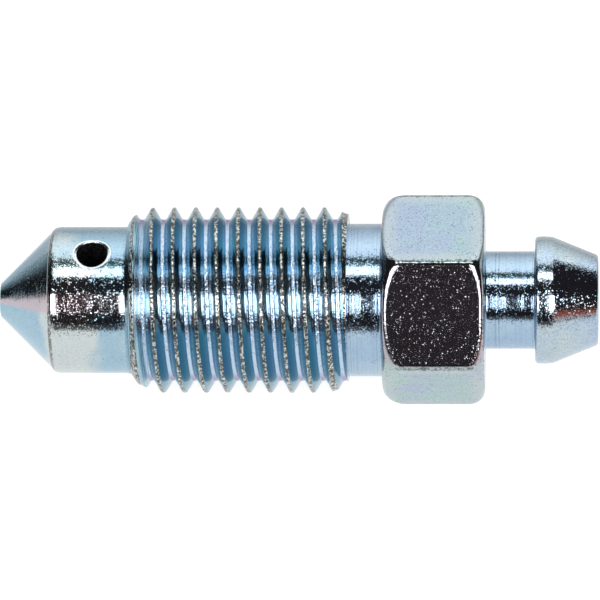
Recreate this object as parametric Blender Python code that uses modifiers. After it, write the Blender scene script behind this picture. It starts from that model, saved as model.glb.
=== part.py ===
"""Bleeder screw of a hydraulic brake: one piece of steel, turned from hexagon bar.

Run with: blender --background --python part.py

The screw lies along X with its cone seat towards -X and its hose nipple towards +X.
X = 0 is the middle of its length, and Z = 0 is the surface that it lies on.
All sizes are in metres. Stations along the screw are measured from the tip of the cone.
"""

import math

import bmesh
import bpy
from mathutils import Matrix

# Thread, 7/16-20 UNF, right hand
THREAD_MAJOR_DIAMETER = 0.0110
THREAD_PITCH = 0.00127
THREAD_LENGTH = 0.01298
THREAD_FLANK_DEG = 30.0
THREAD_CLOCK_DEG = 116.0

# Chamfers that the blank had before its thread was rolled
LEAD_STEP_LENGTH = 0.00027
LEAD_STEP_HEIGHT = 0.00034
LEAD_TAPER_LENGTH = 0.00115
LEAD_TAPER_HEIGHT = 0.00053
TAIL_TAPER_LENGTH = 0.00115
TAIL_TAPER_HEIGHT = 0.00042

# Cone seat and pilot, which pass through the tapped hole
TIP_DIAMETER = 0.00198
SEAT_CONE_DEG = 90.0
PILOT_RELIEF = 0.00043
PILOT_LENGTH = 0.00429

# Neck between thread and hexagon
NECK_RELIEF = 0.00025
NECK_LENGTH = 0.00203

# Hexagon, with each end rounded over on the lathe
HEX_ACROSS_FLATS = 0.01095
HEX_LENGTH = 0.00603
HEX_CORNER_RADIUS = 0.0003
HEX_FRONT_ROUND_LENGTH = 0.00175
HEX_FRONT_ROUND_DEPTH = 0.00116
HEX_REAR_ROUND_LENGTH = 0.00118
HEX_REAR_ROUND_DEPTH = 0.00118

# Hose nipple and its barb
NIPPLE_DIAMETER = 0.00576
NIPPLE_LENGTH = 0.00294
BARB_DIAMETER = 0.00754
BARB_LAND_LENGTH = 0.00105
BARB_TAPER_LENGTH = 0.00268
BARB_TAPER_DEG = 22.7

# Drilled passage
BORE_DIAMETER = 0.0028
BORE_PAST_CROSS_HOLE = 0.0012
BORE_MOUTH_CHAMFER = 0.00025
DRILL_POINT_DEG = 118.0
CROSS_HOLE_DIAMETER = 0.0019
CROSS_HOLE_SETBACK = 0.00232
CROSS_HOLE_CLOCK_DEG = 101.0
CROSS_HOLE_EDGE_BREAK = 0.00018

# Small edge and corner radii
TIP_EDGE_RADIUS = 0.00015
CONE_EDGE_RADIUS = 0.00055
SHOULDER_EDGE_RADIUS = 0.00012
CORNER_FILLET = 0.00012
BARB_REAR_RADIUS = 0.0002
BARB_SHOULDER_RADIUS = 0.0008
BARB_TIP_RADIUS = 0.00022

# Facets
SEGMENTS = 48
HOLE_SEGMENTS = 24
ARC_STEPS = 2
ROUND_STEPS = 5
FLAT_STEPS = 6
CORNER_STEPS = 2

# How far a cutter runs past the surface that it cuts
CUTTER_OVERRUN = 0.001
WELD_DISTANCE = 0.0000002

# Radii that follow from the sizes above
SHARP_V_HEIGHT = THREAD_PITCH / (2 * math.tan(math.radians(THREAD_FLANK_DEG)))
THREAD_DEPTH = SHARP_V_HEIGHT * 2 / 3
MAJOR_RADIUS = THREAD_MAJOR_DIAMETER / 2
MINOR_RADIUS = MAJOR_RADIUS - THREAD_DEPTH
PILOT_RADIUS = MINOR_RADIUS - PILOT_RELIEF
NECK_RADIUS = MINOR_RADIUS - NECK_RELIEF
HEX_CORNER_REACH = HEX_ACROSS_FLATS / math.sqrt(3)
COLLAR_RADIUS = HEX_CORNER_REACH + HEX_CORNER_RADIUS / 4
NIPPLE_RADIUS = NIPPLE_DIAMETER / 2
BARB_RADIUS = BARB_DIAMETER / 2
BARB_END_RADIUS = BARB_RADIUS - BARB_TAPER_LENGTH * math.tan(math.radians(BARB_TAPER_DEG))
BORE_RADIUS = BORE_DIAMETER / 2
TIP_RADIUS = TIP_DIAMETER / 2

# Stations along the screw, from the tip
CONE_END = (PILOT_RADIUS - TIP_RADIUS) / math.tan(math.radians(SEAT_CONE_DEG / 2))
THREAD_START = CONE_END + PILOT_LENGTH
THREAD_END = THREAD_START + THREAD_LENGTH
HEX_START = THREAD_END + NECK_LENGTH
HEX_END = HEX_START + HEX_LENGTH
BARB_START = HEX_END + NIPPLE_LENGTH
SCREW_LENGTH = BARB_START + BARB_LAND_LENGTH + BARB_TAPER_LENGTH
CROSS_HOLE_STATION = CONE_END + CROSS_HOLE_SETBACK
BORE_FLOOR = CROSS_HOLE_STATION - BORE_PAST_CROSS_HOLE
AXIS_HEIGHT = max(MAJOR_RADIUS, HEX_ACROSS_FLATS / 2)

ZINC_COLOR = (0.66, 0.74, 0.80, 1.0)
ZINC_ROUGHNESS = 0.28


def clear_scene():
    for thing in list(bpy.data.objects):
        bpy.data.objects.remove(thing)


def new_collection(name):
    collection = bpy.data.collections.new(name)
    bpy.context.scene.collection.children.link(collection)
    return collection


def object_from(shape, name, collection):
    """A new object that takes over a finished bmesh."""
    mesh = bpy.data.meshes.new(name)
    shape.to_mesh(mesh)
    shape.free()
    made = bpy.data.objects.new(name, mesh)
    collection.objects.link(made)
    return made


def arc_between(before, corner, after, radius, steps=ARC_STEPS):
    """The points of the arc that rounds a corner of an outline.

    The arc is made smaller where a wall beside the corner is too short for it."""
    to_before = (before[0] - corner[0], before[1] - corner[1])
    to_after = (after[0] - corner[0], after[1] - corner[1])
    length_before = math.hypot(*to_before)
    length_after = math.hypot(*to_after)
    unit_before = (to_before[0] / length_before, to_before[1] / length_before)
    unit_after = (to_after[0] / length_after, to_after[1] / length_after)
    cosine = unit_before[0] * unit_after[0] + unit_before[1] * unit_after[1]
    half_angle = math.acos(max(-1.0, min(1.0, cosine))) / 2
    longest_tangent = 0.45 * min(length_before, length_after)
    tangent = min(radius / math.tan(half_angle), longest_tangent)
    to_centre = tangent / math.cos(half_angle)
    middle = (unit_before[0] + unit_after[0], unit_before[1] + unit_after[1])
    scale = to_centre / math.hypot(*middle)
    centre = (corner[0] + middle[0] * scale, corner[1] + middle[1] * scale)
    arc_radius = tangent * math.tan(half_angle)
    first = (corner[0] + unit_before[0] * tangent, corner[1] + unit_before[1] * tangent)
    last = (corner[0] + unit_after[0] * tangent, corner[1] + unit_after[1] * tangent)
    start = math.atan2(first[1] - centre[1], first[0] - centre[0])
    sweep = math.atan2(last[1] - centre[1], last[0] - centre[0]) - start
    sweep = (sweep + math.pi) % (2 * math.pi) - math.pi
    points = []
    for step in range(steps + 1):
        angle = start + sweep * step / steps
        points.append(
            (
                centre[0] + arc_radius * math.cos(angle),
                centre[1] + arc_radius * math.sin(angle),
            )
        )
    return points


def rounded_outline(corners):
    """An outline from (station, radius, corner radius) rows, with its corners rounded."""
    places = [(station, radius) for station, radius, _ in corners]
    outline = []
    for index, (station, radius, rounding) in enumerate(corners):
        if rounding:
            before, after = places[index - 1], places[index + 1]
            outline.extend(arc_between(before, (station, radius), after, rounding))
        else:
            outline.append((station, radius))
    return outline


def core_outline():
    """Half of the turned section, from the tip to the nipple's end, without the hexagon.

    Each wall beside the hexagon leans into it, so that the fillet there ends inside the metal."""
    shoulder_radius = MAJOR_RADIUS - LEAD_TAPER_HEIGHT
    lean = CORNER_FILLET
    wall = 4 * CORNER_FILLET
    return rounded_outline(
        [
            (0, 0, 0),
            (0, TIP_RADIUS, TIP_EDGE_RADIUS),
            (CONE_END, PILOT_RADIUS, CONE_EDGE_RADIUS),
            (THREAD_START, PILOT_RADIUS, 0),
            (THREAD_START, shoulder_radius - LEAD_STEP_HEIGHT, 0),
            (THREAD_START + LEAD_STEP_LENGTH, shoulder_radius, 0),
            (THREAD_START + LEAD_STEP_LENGTH + LEAD_TAPER_LENGTH, MAJOR_RADIUS, 0),
            (THREAD_END - TAIL_TAPER_LENGTH, MAJOR_RADIUS, 0),
            (THREAD_END, MAJOR_RADIUS - TAIL_TAPER_HEIGHT, SHOULDER_EDGE_RADIUS),
            (THREAD_END, NECK_RADIUS, CORNER_FILLET),
            (HEX_START, NECK_RADIUS, CORNER_FILLET),
            (HEX_START + lean, NECK_RADIUS + wall, 0),
            (HEX_END - lean, NIPPLE_RADIUS + wall, 0),
            (HEX_END, NIPPLE_RADIUS, CORNER_FILLET),
            (BARB_START, NIPPLE_RADIUS, CORNER_FILLET),
            (BARB_START, BARB_RADIUS, BARB_REAR_RADIUS),
            (BARB_START + BARB_LAND_LENGTH, BARB_RADIUS, BARB_SHOULDER_RADIUS),
            (SCREW_LENGTH, BARB_END_RADIUS, BARB_TIP_RADIUS),
            (SCREW_LENGTH, 0, 0),
        ]
    )


def turned(name, outline, collection, segments=SEGMENTS):
    """An outline turned round the X axis. A station lies along X."""
    mesh = bpy.data.meshes.new(name)
    points = [(station, 0, radius) for station, radius in reversed(outline)]
    edges = [(index, index + 1) for index in range(len(points) - 1)]
    mesh.from_pydata(points, edges, [])
    shape = bpy.data.objects.new(name, mesh)
    collection.objects.link(shape)
    lathe = shape.modifiers.new("lathe", "SCREW")
    lathe.axis = "X"
    lathe.steps = segments
    lathe.render_steps = segments
    lathe.use_merge_vertices = True
    lathe.merge_threshold = WELD_DISTANCE
    return shape


def as_helper(shape):
    """Keeps a cutter or a guide out of the model itself."""
    shape.hide_render = True
    shape.display_type = "WIRE"
    return shape


def combine(shape, other, operation):
    boolean = shape.modifiers.new(f"{operation.lower()} {other.name}", "BOOLEAN")
    boolean.operation = operation
    boolean.solver = "EXACT"
    boolean.object = other


def hexagon_section():
    """Points round the drawn bar, as (angle, reach) pairs: six flats with a rounded corner after each."""
    half_flat = HEX_ACROSS_FLATS / 2
    corner_centre = (half_flat - HEX_CORNER_RADIUS) / math.cos(math.radians(30))
    half_width = (half_flat - HEX_CORNER_RADIUS) * math.tan(math.radians(30))
    section = []
    for side in range(6):
        flat_angle = math.radians(60 * side + 90)
        for step in range(FLAT_STEPS):
            along = half_width * (2 * step / FLAT_STEPS - 1)
            section.append((flat_angle + math.atan2(along, half_flat), math.hypot(along, half_flat)))
        for step in range(CORNER_STEPS):
            turn = math.radians(60 * step / CORNER_STEPS - 30)
            out = corner_centre + HEX_CORNER_RADIUS * math.cos(turn)
            across = HEX_CORNER_RADIUS * math.sin(turn)
            corner_angle = flat_angle + math.radians(30)
            section.append((corner_angle + math.atan2(across, out), math.hypot(out, across)))
    return section


def round_over(reach, length, depth):
    """The turned end of one strip of the hexagon, as (distance from the end face, radius) pairs.

    It is the part of a quarter ellipse that lies inside the bar, which is reach away from the axis."""
    face_radius = COLLAR_RADIUS - depth
    rise = max(0.0, min(1.0, (reach - face_radius) / depth))
    points = []
    for step in range(ROUND_STEPS + 1):
        angle = math.asin(rise) * step / ROUND_STEPS
        radius = min(reach, face_radius + depth * math.sin(angle))
        points.append((length * (1 - math.cos(angle)), radius))
    return points


def hexagon(collection):
    """The hexagon: a loft from its round front face, along the flats, to its round rear face."""
    shape = bmesh.new()
    strips = []
    for angle, reach in hexagon_section():
        front = round_over(reach, HEX_FRONT_ROUND_LENGTH, HEX_FRONT_ROUND_DEPTH)
        rear = round_over(reach, HEX_REAR_ROUND_LENGTH, HEX_REAR_ROUND_DEPTH)
        rows = [(HEX_START + inward, radius) for inward, radius in front]
        rows += [(HEX_END - inward, radius) for inward, radius in reversed(rear)]
        strip = [
            shape.verts.new((station, radius * math.cos(angle), radius * math.sin(angle)))
            for station, radius in rows
        ]
        strips.append(strip)
    for strip, beside in zip(strips, strips[1:] + strips[:1]):
        for row in range(len(strip) - 1):
            shape.faces.new((strip[row], beside[row], beside[row + 1], strip[row + 1]))
    shape.faces.new([strip[0] for strip in strips])
    shape.faces.new([strip[-1] for strip in strips])
    bmesh.ops.remove_doubles(shape, verts=shape.verts, dist=WELD_DISTANCE)
    bmesh.ops.recalc_face_normals(shape, faces=shape.faces)
    return as_helper(object_from(shape, "hexagon", collection))


def thread_cutter(collection):
    """The helical groove: a trapezoid section, swept round the X axis a pitch a turn."""
    flank_slope = math.tan(math.radians(THREAD_FLANK_DEG))
    crest_flat = THREAD_PITCH / 8
    clear = THREAD_PITCH / 20
    mouth_half = (THREAD_PITCH - crest_flat) / 2
    root_half = mouth_half - THREAD_DEPTH * flank_slope
    top_half = mouth_half + clear * flank_slope
    section = [
        (-top_half, MAJOR_RADIUS + clear),
        (-root_half, MINOR_RADIUS),
        (root_half, MINOR_RADIUS),
        (top_half, MAJOR_RADIUS + clear),
    ]
    run_in = 2
    advance = run_in * THREAD_PITCH + THREAD_LENGTH + NECK_LENGTH / 2
    steps = round(SEGMENTS * advance / THREAD_PITCH)
    shape = bmesh.new()
    corners = [shape.verts.new((station, 0, radius)) for station, radius in section]
    face = shape.faces.new(corners)
    bmesh.ops.spin(
        shape,
        geom=[face, *face.edges, *face.verts],
        cent=(0, 0, 0),
        axis=(1, 0, 0),
        dvec=(THREAD_PITCH / SEGMENTS, 0, 0),
        angle=2 * math.pi * steps / SEGMENTS,
        steps=steps,
    )
    bmesh.ops.recalc_face_normals(shape, faces=shape.faces)
    cutter = object_from(shape, "thread_cutter", collection)
    cutter.location.x = THREAD_START - run_in * THREAD_PITCH
    facets_round = math.floor(SEGMENTS * THREAD_CLOCK_DEG / 360) + 0.5
    cutter.rotation_euler.x = 2 * math.pi * facets_round / SEGMENTS
    return as_helper(cutter)


def bore_drill(collection):
    """The drill that makes the passage along the axis, with the chamfer at its mouth."""
    point = BORE_RADIUS / math.tan(math.radians(DRILL_POINT_DEG / 2))
    mouth = BORE_RADIUS + BORE_MOUTH_CHAMFER
    outline = [
        (BORE_FLOOR - point, 0),
        (BORE_FLOOR, BORE_RADIUS),
        (SCREW_LENGTH - BORE_MOUTH_CHAMFER, BORE_RADIUS),
        (SCREW_LENGTH + CUTTER_OVERRUN, mouth + CUTTER_OVERRUN),
        (SCREW_LENGTH + CUTTER_OVERRUN, 0),
    ]
    return as_helper(turned("bore_drill", outline, collection, HOLE_SEGMENTS))


def cross_drill(collection):
    """The drill that opens the pilot's side into the bore, with the break at its edge."""
    radius = CROSS_HOLE_DIAMETER / 2
    break_start = PILOT_RADIUS - CROSS_HOLE_EDGE_BREAK
    reach = CROSS_HOLE_EDGE_BREAK + CUTTER_OVERRUN
    outline = [
        (0, 0),
        (0, radius),
        (break_start, radius),
        (break_start + reach, radius + reach),
        (break_start + reach, 0),
    ]
    drill = turned("cross_drill", outline, collection, HOLE_SEGMENTS)
    along_clock = Matrix.Rotation(math.radians(CROSS_HOLE_CLOCK_DEG), 4, "X")
    x_to_y = Matrix.Rotation(math.radians(90), 4, "Z")
    drill.matrix_world = Matrix.Translation((CROSS_HOLE_STATION, 0, 0)) @ along_clock @ x_to_y
    return as_helper(drill)


def zinc_material():
    material = bpy.data.materials.new("zinc_plated_steel")
    material.use_nodes = True
    shader = material.node_tree.nodes["Principled BSDF"]
    shader.inputs["Base Color"].default_value = ZINC_COLOR
    shader.inputs["Metallic"].default_value = 1.0
    shader.inputs["Roughness"].default_value = ZINC_ROUGHNESS
    return material


def lay_down(shapes):
    """Hangs the shapes on an empty at the tip of the cone, so that the screw lies on Z = 0."""
    tip = bpy.data.objects.new("cone_tip", None)
    tip.location = (-SCREW_LENGTH / 2, 0, AXIS_HEIGHT)
    bpy.context.scene.collection.objects.link(tip)
    for shape in shapes:
        shape.parent = tip


def build():
    clear_scene()
    parts = new_collection("bleeder_screw_parts")
    cutters = new_collection("cutters")
    screw = turned("bleeder_screw", core_outline(), parts)
    combine(screw, thread_cutter(cutters), "DIFFERENCE")
    combine(screw, hexagon(cutters), "UNION")
    combine(screw, bore_drill(cutters), "DIFFERENCE")
    combine(screw, cross_drill(cutters), "DIFFERENCE")
    screw.data.materials.append(zinc_material())
    lay_down([screw, *cutters.objects])


build()
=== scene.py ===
# %% [markdown]
# # The looks of a brake bleeder screw
#
# A bleeder screw closes the highest point of a brake caliper. Its cone seals on a seat, its
# hexagon takes a spanner, and a hose on the nipple leads the fluid away. It is one piece of
# steel, turned from hexagon bar and plated with zinc that a thin blue film protects. The solid
# that carries its real sizes is loaded first, as a frame that nothing here moves. This script
# then makes one finer skin over it, gives that skin its finish and lights it.

# %% Load the frame
import math

import bmesh
import bpy
from mathutils import Matrix, Vector


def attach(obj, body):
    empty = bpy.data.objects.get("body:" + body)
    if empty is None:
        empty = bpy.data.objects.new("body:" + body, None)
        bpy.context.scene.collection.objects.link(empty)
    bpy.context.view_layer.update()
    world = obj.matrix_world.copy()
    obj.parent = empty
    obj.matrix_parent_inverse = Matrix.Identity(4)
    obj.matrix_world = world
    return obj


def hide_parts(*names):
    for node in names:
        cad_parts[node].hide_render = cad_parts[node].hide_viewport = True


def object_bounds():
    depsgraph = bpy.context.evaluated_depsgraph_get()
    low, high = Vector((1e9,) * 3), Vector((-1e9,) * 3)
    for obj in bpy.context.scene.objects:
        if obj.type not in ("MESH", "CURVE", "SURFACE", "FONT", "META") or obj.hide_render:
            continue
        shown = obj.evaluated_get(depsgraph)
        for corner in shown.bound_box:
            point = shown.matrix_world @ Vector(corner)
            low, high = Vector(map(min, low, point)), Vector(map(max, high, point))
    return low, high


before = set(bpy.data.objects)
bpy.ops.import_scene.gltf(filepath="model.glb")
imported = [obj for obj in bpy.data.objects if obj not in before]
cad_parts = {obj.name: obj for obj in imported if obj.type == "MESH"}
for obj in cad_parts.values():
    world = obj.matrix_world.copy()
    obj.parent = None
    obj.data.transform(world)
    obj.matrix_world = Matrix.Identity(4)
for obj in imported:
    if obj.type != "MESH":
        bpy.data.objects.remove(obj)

cad_low, cad_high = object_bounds()
print("The solid's box:", [round(side * 1000, 2) for side in cad_high - cad_low], "mm")

# %% [markdown]
# ## Sizes
#
# The screw lies along X. Stations are measured from the tip of the cone, as on the turner's
# drawing, and the length and the height of the axis come from the frame. Everything else is a
# named size, so that the thread, the hexagon and the holes stay where the solid has them. A
# few differ a little from the solid's, because a skin can show what its facets can't.

# %% Sizes of the thread
MM = 0.001

SCREW_LENGTH = cad_high.x - cad_low.x
AXIS_HEIGHT = (cad_high.z + cad_low.z) / 2

MAJOR_RADIUS = 5.5 * MM
PITCH = 1.27 * MM
FLANK_SLOPE = math.tan(math.radians(30))
THREAD_DEPTH = PITCH / (2 * FLANK_SLOPE) * 2 / 3
MINOR_RADIUS = MAJOR_RADIUS - THREAD_DEPTH
CREST_FLAT = PITCH / 8
THREAD_LENGTH = 12.98 * MM
CREST_STATION = 0.965 * PITCH

LEAD_STEP_LENGTH = 0.29 * MM
LEAD_STEP_RUN = 0.22 * MM
LEAD_STEP_HEIGHT = 0.34 * MM
LEAD_SKEW_UP = 0.075 * MM
LEAD_SKEW_ACROSS = 0.12 * MM
LEAD_TAPER_LENGTH = 1.15 * MM
LEAD_TAPER_HEIGHT = 0.53 * MM
TAIL_TAPER_LENGTH = 1.15 * MM
TAIL_TAPER_HEIGHT = 0.42 * MM
print("The thread is", round(THREAD_DEPTH / MM, 3), "mm deep")

# %% Sizes of the turned parts and the hexagon
TIP_RADIUS = 0.99 * MM
PILOT_RADIUS = MINOR_RADIUS - 0.43 * MM
PILOT_LENGTH = 4.29 * MM
FOOT_RISE = 0.04 * MM
NECK_RADIUS = MINOR_RADIUS - 0.25 * MM
NECK_LENGTH = 2.03 * MM

HEX_HALF = 10.95 * MM / 2
HEX_LENGTH = 6.03 * MM
HEX_CORNER_RADIUS = 0.45 * MM
HEX_EDGE_RADIUS = 0.34 * MM
HEX_EDGE_REACH = 0.52 * MM
COLLAR_RADIUS = HEX_HALF / math.cos(math.radians(30)) + 0.075 * MM
FRONT_ROUND = (1.75 * MM, 1.3 * MM)
REAR_ROUND = (1.18 * MM, 1.18 * MM)

NIPPLE_RADIUS = 2.88 * MM
NIPPLE_LENGTH = 2.94 * MM
BARB_RADIUS = 3.77 * MM
BARB_LAND = 1.05 * MM
BARB_CROWN = 0.035 * MM
BARB_TAPER = 2.68 * MM
BARB_END_RADIUS = BARB_RADIUS - BARB_TAPER * math.tan(math.radians(22.7))

BORE_RADIUS = 1.4 * MM
CROSS_HOLE_RADIUS = 0.92 * MM
CROSS_HOLE_CLOCK = math.radians(101)
CROSS_HOLE_RIM = 0.43 * MM
print("The barb tapers to", round(BARB_END_RADIUS / MM, 2), "mm")

# %% Stations along the screw
CONE_END = PILOT_RADIUS - TIP_RADIUS
THREAD_START = CONE_END + PILOT_LENGTH
THREAD_END = THREAD_START + THREAD_LENGTH
HEX_START = THREAD_END + NECK_LENGTH
HEX_END = HEX_START + HEX_LENGTH
BARB_START = HEX_END + NIPPLE_LENGTH
CROSS_HOLE_STATION = CONE_END + 2.32 * MM
BORE_FLOOR = CROSS_HOLE_STATION - 1.2 * MM
DRILL_POINT = BORE_RADIUS / math.tan(math.radians(59))

# points round the screw, rows on each turn of the thread, how far a holding point lies from
# a corner, and the distance under which two points are welded into one
COLUMNS = 192
ROWS_A_PITCH = 30
HOLD = 0.03 * MM
WELD = 0.0015 * MM


def at(station):
    """The X of a station along the screw."""
    return station + cad_low.x


print("The screw is", round(SCREW_LENGTH / MM, 2), "mm long")
print("Its axis lies", round(AXIS_HEIGHT / MM, 2), "mm up")

# %% [markdown]
# ## Small tools for node trees
#
# The thread is made by a tree of geometry nodes and each finish by a tree of shader nodes.
# Both are mostly sums, so a few helpers keep them short: one adds a node and feeds its sockets,
# one adds a Math node and returns its result, one carries a value from one range to another,
# one blends two colours by a mask, and one splits a vector.

# %% Helpers for node trees
def feed(tree, socket, value):
    """Gives a socket a plain value, or links it to another node's output."""
    if isinstance(value, bpy.types.NodeSocket):
        tree.links.new(value, socket)
    else:
        socket.default_value = value


def add(tree, kind, inputs=None, **settings):
    """A new node, with its settings and with inputs given by name."""
    node = tree.nodes.new(kind)
    for name, value in settings.items():
        setattr(node, name, value)
    for name, value in (inputs or {}).items():
        feed(tree, node.inputs[name], value)
    return node


def calc(tree, operation, *values):
    """The result of one Math node."""
    node = tree.nodes.new("ShaderNodeMath")
    node.operation = operation
    for socket, value in zip(node.inputs, values):
        feed(tree, socket, value)
    return node.outputs[0]


def ramp(tree, value, low, high, to_low=0.0, to_high=1.0):
    """A value carried from one range to another, and held at its ends."""
    node = tree.nodes.new("ShaderNodeMapRange")
    node.interpolation_type = "SMOOTHSTEP"
    limits = {"Value": value, "From Min": low, "From Max": high, "To Min": to_low, "To Max": to_high}
    for name, given in limits.items():
        feed(tree, node.inputs[name], given)
    return node.outputs["Result"]


def blend(tree, mask, first, second):
    """The first colour where the mask is 0 and the second where it is 1."""
    node = tree.nodes.new("ShaderNodeMix")
    node.data_type = "RGBA"
    # a Mix node has sockets for each kind of data, and those for colours are these
    for socket, given in zip((0, 6, 7), (mask, first, second)):
        feed(tree, node.inputs[socket], given)
    return node.outputs[2]


def parts_of(tree, vector):
    """The X, Y and Z of a vector."""
    return add(tree, "ShaderNodeSeparateXYZ", {"Vector": vector}).outputs


# %% [markdown]
# ## The thread
#
# On the real screw two dies roll the thread: they press a groove of one section into the
# blank, a pitch further with each turn, and the metal that they push aside rises to the crest.
# Its shape is a rule, so geometry nodes make it. A flat grid is wound round the axis with its
# rows along the helix, so that crest and root are each a clean line of points. The radius at a
# point depends on its distance from the nearest crest: two straight flanks of 30 degrees, held
# between a crest and a root whose corners are soft. Near both ends the turned blank is
# narrower than the crest, and the smaller of the two radii wins.

# %% The sizes that the tree takes
THREAD_SIZES = {
    "Axis Height": AXIS_HEIGHT,
    "Start": at(THREAD_START),
    "End": at(THREAD_END),
    "Crest At": at(CREST_STATION),
    "Pitch": PITCH,
    "Major Radius": MAJOR_RADIUS,
    "Minor Radius": MINOR_RADIUS,
    "Crest Flat": CREST_FLAT,
    "Crest Softness": 0.1 * MM,
    "Root Softness": 0.2 * MM,
    "Crest Roughness": 0.03 * MM,
    "Radius Before": PILOT_RADIUS + FOOT_RISE,
    "Radius After": NECK_RADIUS,
    "Columns": COLUMNS,
    "Rows A Pitch": ROWS_A_PITCH,
}

# %% A grid along the helix
SPARE_ROWS_BEFORE = 2.0
SPARE_ROWS_AFTER = 3.0


def helix_grid(tree, size):
    """The flat grid, its step along the helix, and where each point lies round and along the axis."""
    row_step = calc(tree, "DIVIDE", size["Pitch"], size["Rows A Pitch"])
    lead_in = calc(tree, "MULTIPLY_ADD", row_step, SPARE_ROWS_BEFORE, size["Pitch"])
    from_crest = calc(tree, "SUBTRACT", calc(tree, "SUBTRACT", size["Start"], lead_in), size["Crest At"])
    first_row = calc(tree, "ADD", calc(tree, "SNAP", from_crest, row_step), size["Crest At"])
    last_row = calc(tree, "MULTIPLY_ADD", row_step, SPARE_ROWS_AFTER, size["End"])
    run = calc(tree, "SUBTRACT", last_row, first_row)
    rows = calc(tree, "CEIL", calc(tree, "DIVIDE", run, row_step))
    grid = add(
        tree,
        "GeometryNodeMeshGrid",
        {
            "Size X": rows,
            "Size Y": size["Columns"],
            "Vertices X": calc(tree, "ADD", rows, 1.0),
            "Vertices Y": calc(tree, "ADD", size["Columns"], 1.0),
        },
    )
    place = parts_of(tree, tree.nodes.new("GeometryNodeInputPosition").outputs[0])
    row = calc(tree, "ROUND", calc(tree, "MULTIPLY_ADD", rows, 0.5, place["X"]))
    column = calc(tree, "ROUND", calc(tree, "MULTIPLY_ADD", size["Columns"], 0.5, place["Y"]))
    turn = calc(tree, "DIVIDE", column, size["Columns"])
    station = calc(tree, "MULTIPLY_ADD", row, row_step, first_row)
    wound = calc(tree, "MULTIPLY_ADD", turn, size["Pitch"], station)
    return grid.outputs["Mesh"], row_step, turn, wound


# %% The rolled section
def rolled_section(tree, size, turn, along):
    """The rolled radius at a point, and how far the point lies from the nearest crest."""
    crest = calc(tree, "MULTIPLY_ADD", turn, size["Pitch"], size["Crest At"])
    half_pitch = calc(tree, "MULTIPLY", size["Pitch"], 0.5)
    distance = calc(tree, "PINGPONG", calc(tree, "SUBTRACT", along, crest), half_pitch)
    half_flat = calc(tree, "MULTIPLY", size["Crest Flat"], 0.5)
    drop = calc(tree, "DIVIDE", calc(tree, "SUBTRACT", half_flat, distance), FLANK_SLOPE)
    flank = calc(tree, "ADD", size["Major Radius"], drop)
    crested = calc(tree, "SMOOTH_MIN", flank, size["Major Radius"], size["Crest Softness"])
    return calc(tree, "SMOOTH_MAX", crested, size["Minor Radius"], size["Root Softness"]), distance


# %% The turned blank
LEAD_SOFTNESS = 0.15 * MM
MEETING_SOFTNESS = 0.08 * MM
TAIL_SLOPE = TAIL_TAPER_HEIGHT / TAIL_TAPER_LENGTH


def turned_blank(tree, size, along, cosine, sine):
    """The blank's radius: a step, not quite square, and a taper lead in, and a taper leads out."""
    past_start = calc(tree, "SUBTRACT", along, size["Start"])
    before_end = calc(tree, "SUBTRACT", size["End"], along)
    askew = calc(tree, "MULTIPLY_ADD", sine, -LEAD_SKEW_UP, LEAD_STEP_LENGTH + LEAD_SKEW_UP)
    askew = calc(tree, "MULTIPLY_ADD", cosine, -LEAD_SKEW_ACROSS, askew)
    past_step = calc(tree, "SUBTRACT", past_start, askew)
    lead_radius = calc(tree, "SUBTRACT", size["Major Radius"], LEAD_TAPER_HEIGHT)
    step_slope = LEAD_STEP_HEIGHT / LEAD_STEP_RUN
    lead_slope = LEAD_TAPER_HEIGHT / LEAD_TAPER_LENGTH
    step_line = calc(tree, "MULTIPLY_ADD", past_step, step_slope, lead_radius)
    lead_line = calc(tree, "MULTIPLY_ADD", past_step, lead_slope, lead_radius)
    lead = calc(tree, "SMOOTH_MIN", step_line, lead_line, LEAD_SOFTNESS)
    tail_radius = calc(tree, "SUBTRACT", size["Major Radius"], TAIL_TAPER_HEIGHT)
    tail_line = calc(tree, "MULTIPLY_ADD", before_end, TAIL_SLOPE, tail_radius)
    return calc(tree, "MAXIMUM", calc(tree, "MINIMUM", lead, tail_line), size["Radius Before"])


# %% The uneven crest and the closed ends
CREST_WEAR_SCALE = 1.6 / MM
CREST_WEAR_REACH = 0.18 * MM
CLOSING_ROWS = 1.5


def crest_wear(tree, size, along, cosine, sine, distance):
    """How much a rolled crest, which is never quite even, falls short at a point."""
    across = calc(tree, "MULTIPLY", cosine, size["Major Radius"])
    up = calc(tree, "MULTIPLY", sine, size["Major Radius"])
    place = add(tree, "ShaderNodeCombineXYZ", {"X": along, "Y": across, "Z": up}).outputs[0]
    measures = {"Vector": place, "Scale": CREST_WEAR_SCALE, "Detail": 2.0}
    uneven = add(tree, "ShaderNodeTexNoise", measures).outputs[0]
    near_crest = ramp(tree, distance, 0.0, CREST_WEAR_REACH, 1.0, 0.0)
    return calc(tree, "MULTIPLY", calc(tree, "MULTIPLY", uneven, near_crest), size["Crest Roughness"])


def closed_ends(tree, size, row_step, wound, radius):
    """The radius, carried to the pilot's and the neck's where the grid runs past the thread."""
    margin = calc(tree, "MULTIPLY", row_step, CLOSING_ROWS)
    before = calc(tree, "LESS_THAN", wound, calc(tree, "SUBTRACT", size["Start"], margin))
    after = calc(tree, "GREATER_THAN", wound, calc(tree, "ADD", size["End"], margin))
    to_pilot = calc(tree, "MULTIPLY", before, calc(tree, "SUBTRACT", size["Radius Before"], radius))
    to_neck = calc(tree, "MULTIPLY", after, calc(tree, "SUBTRACT", size["Radius After"], radius))
    return calc(tree, "ADD", radius, calc(tree, "ADD", to_pilot, to_neck))


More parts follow.
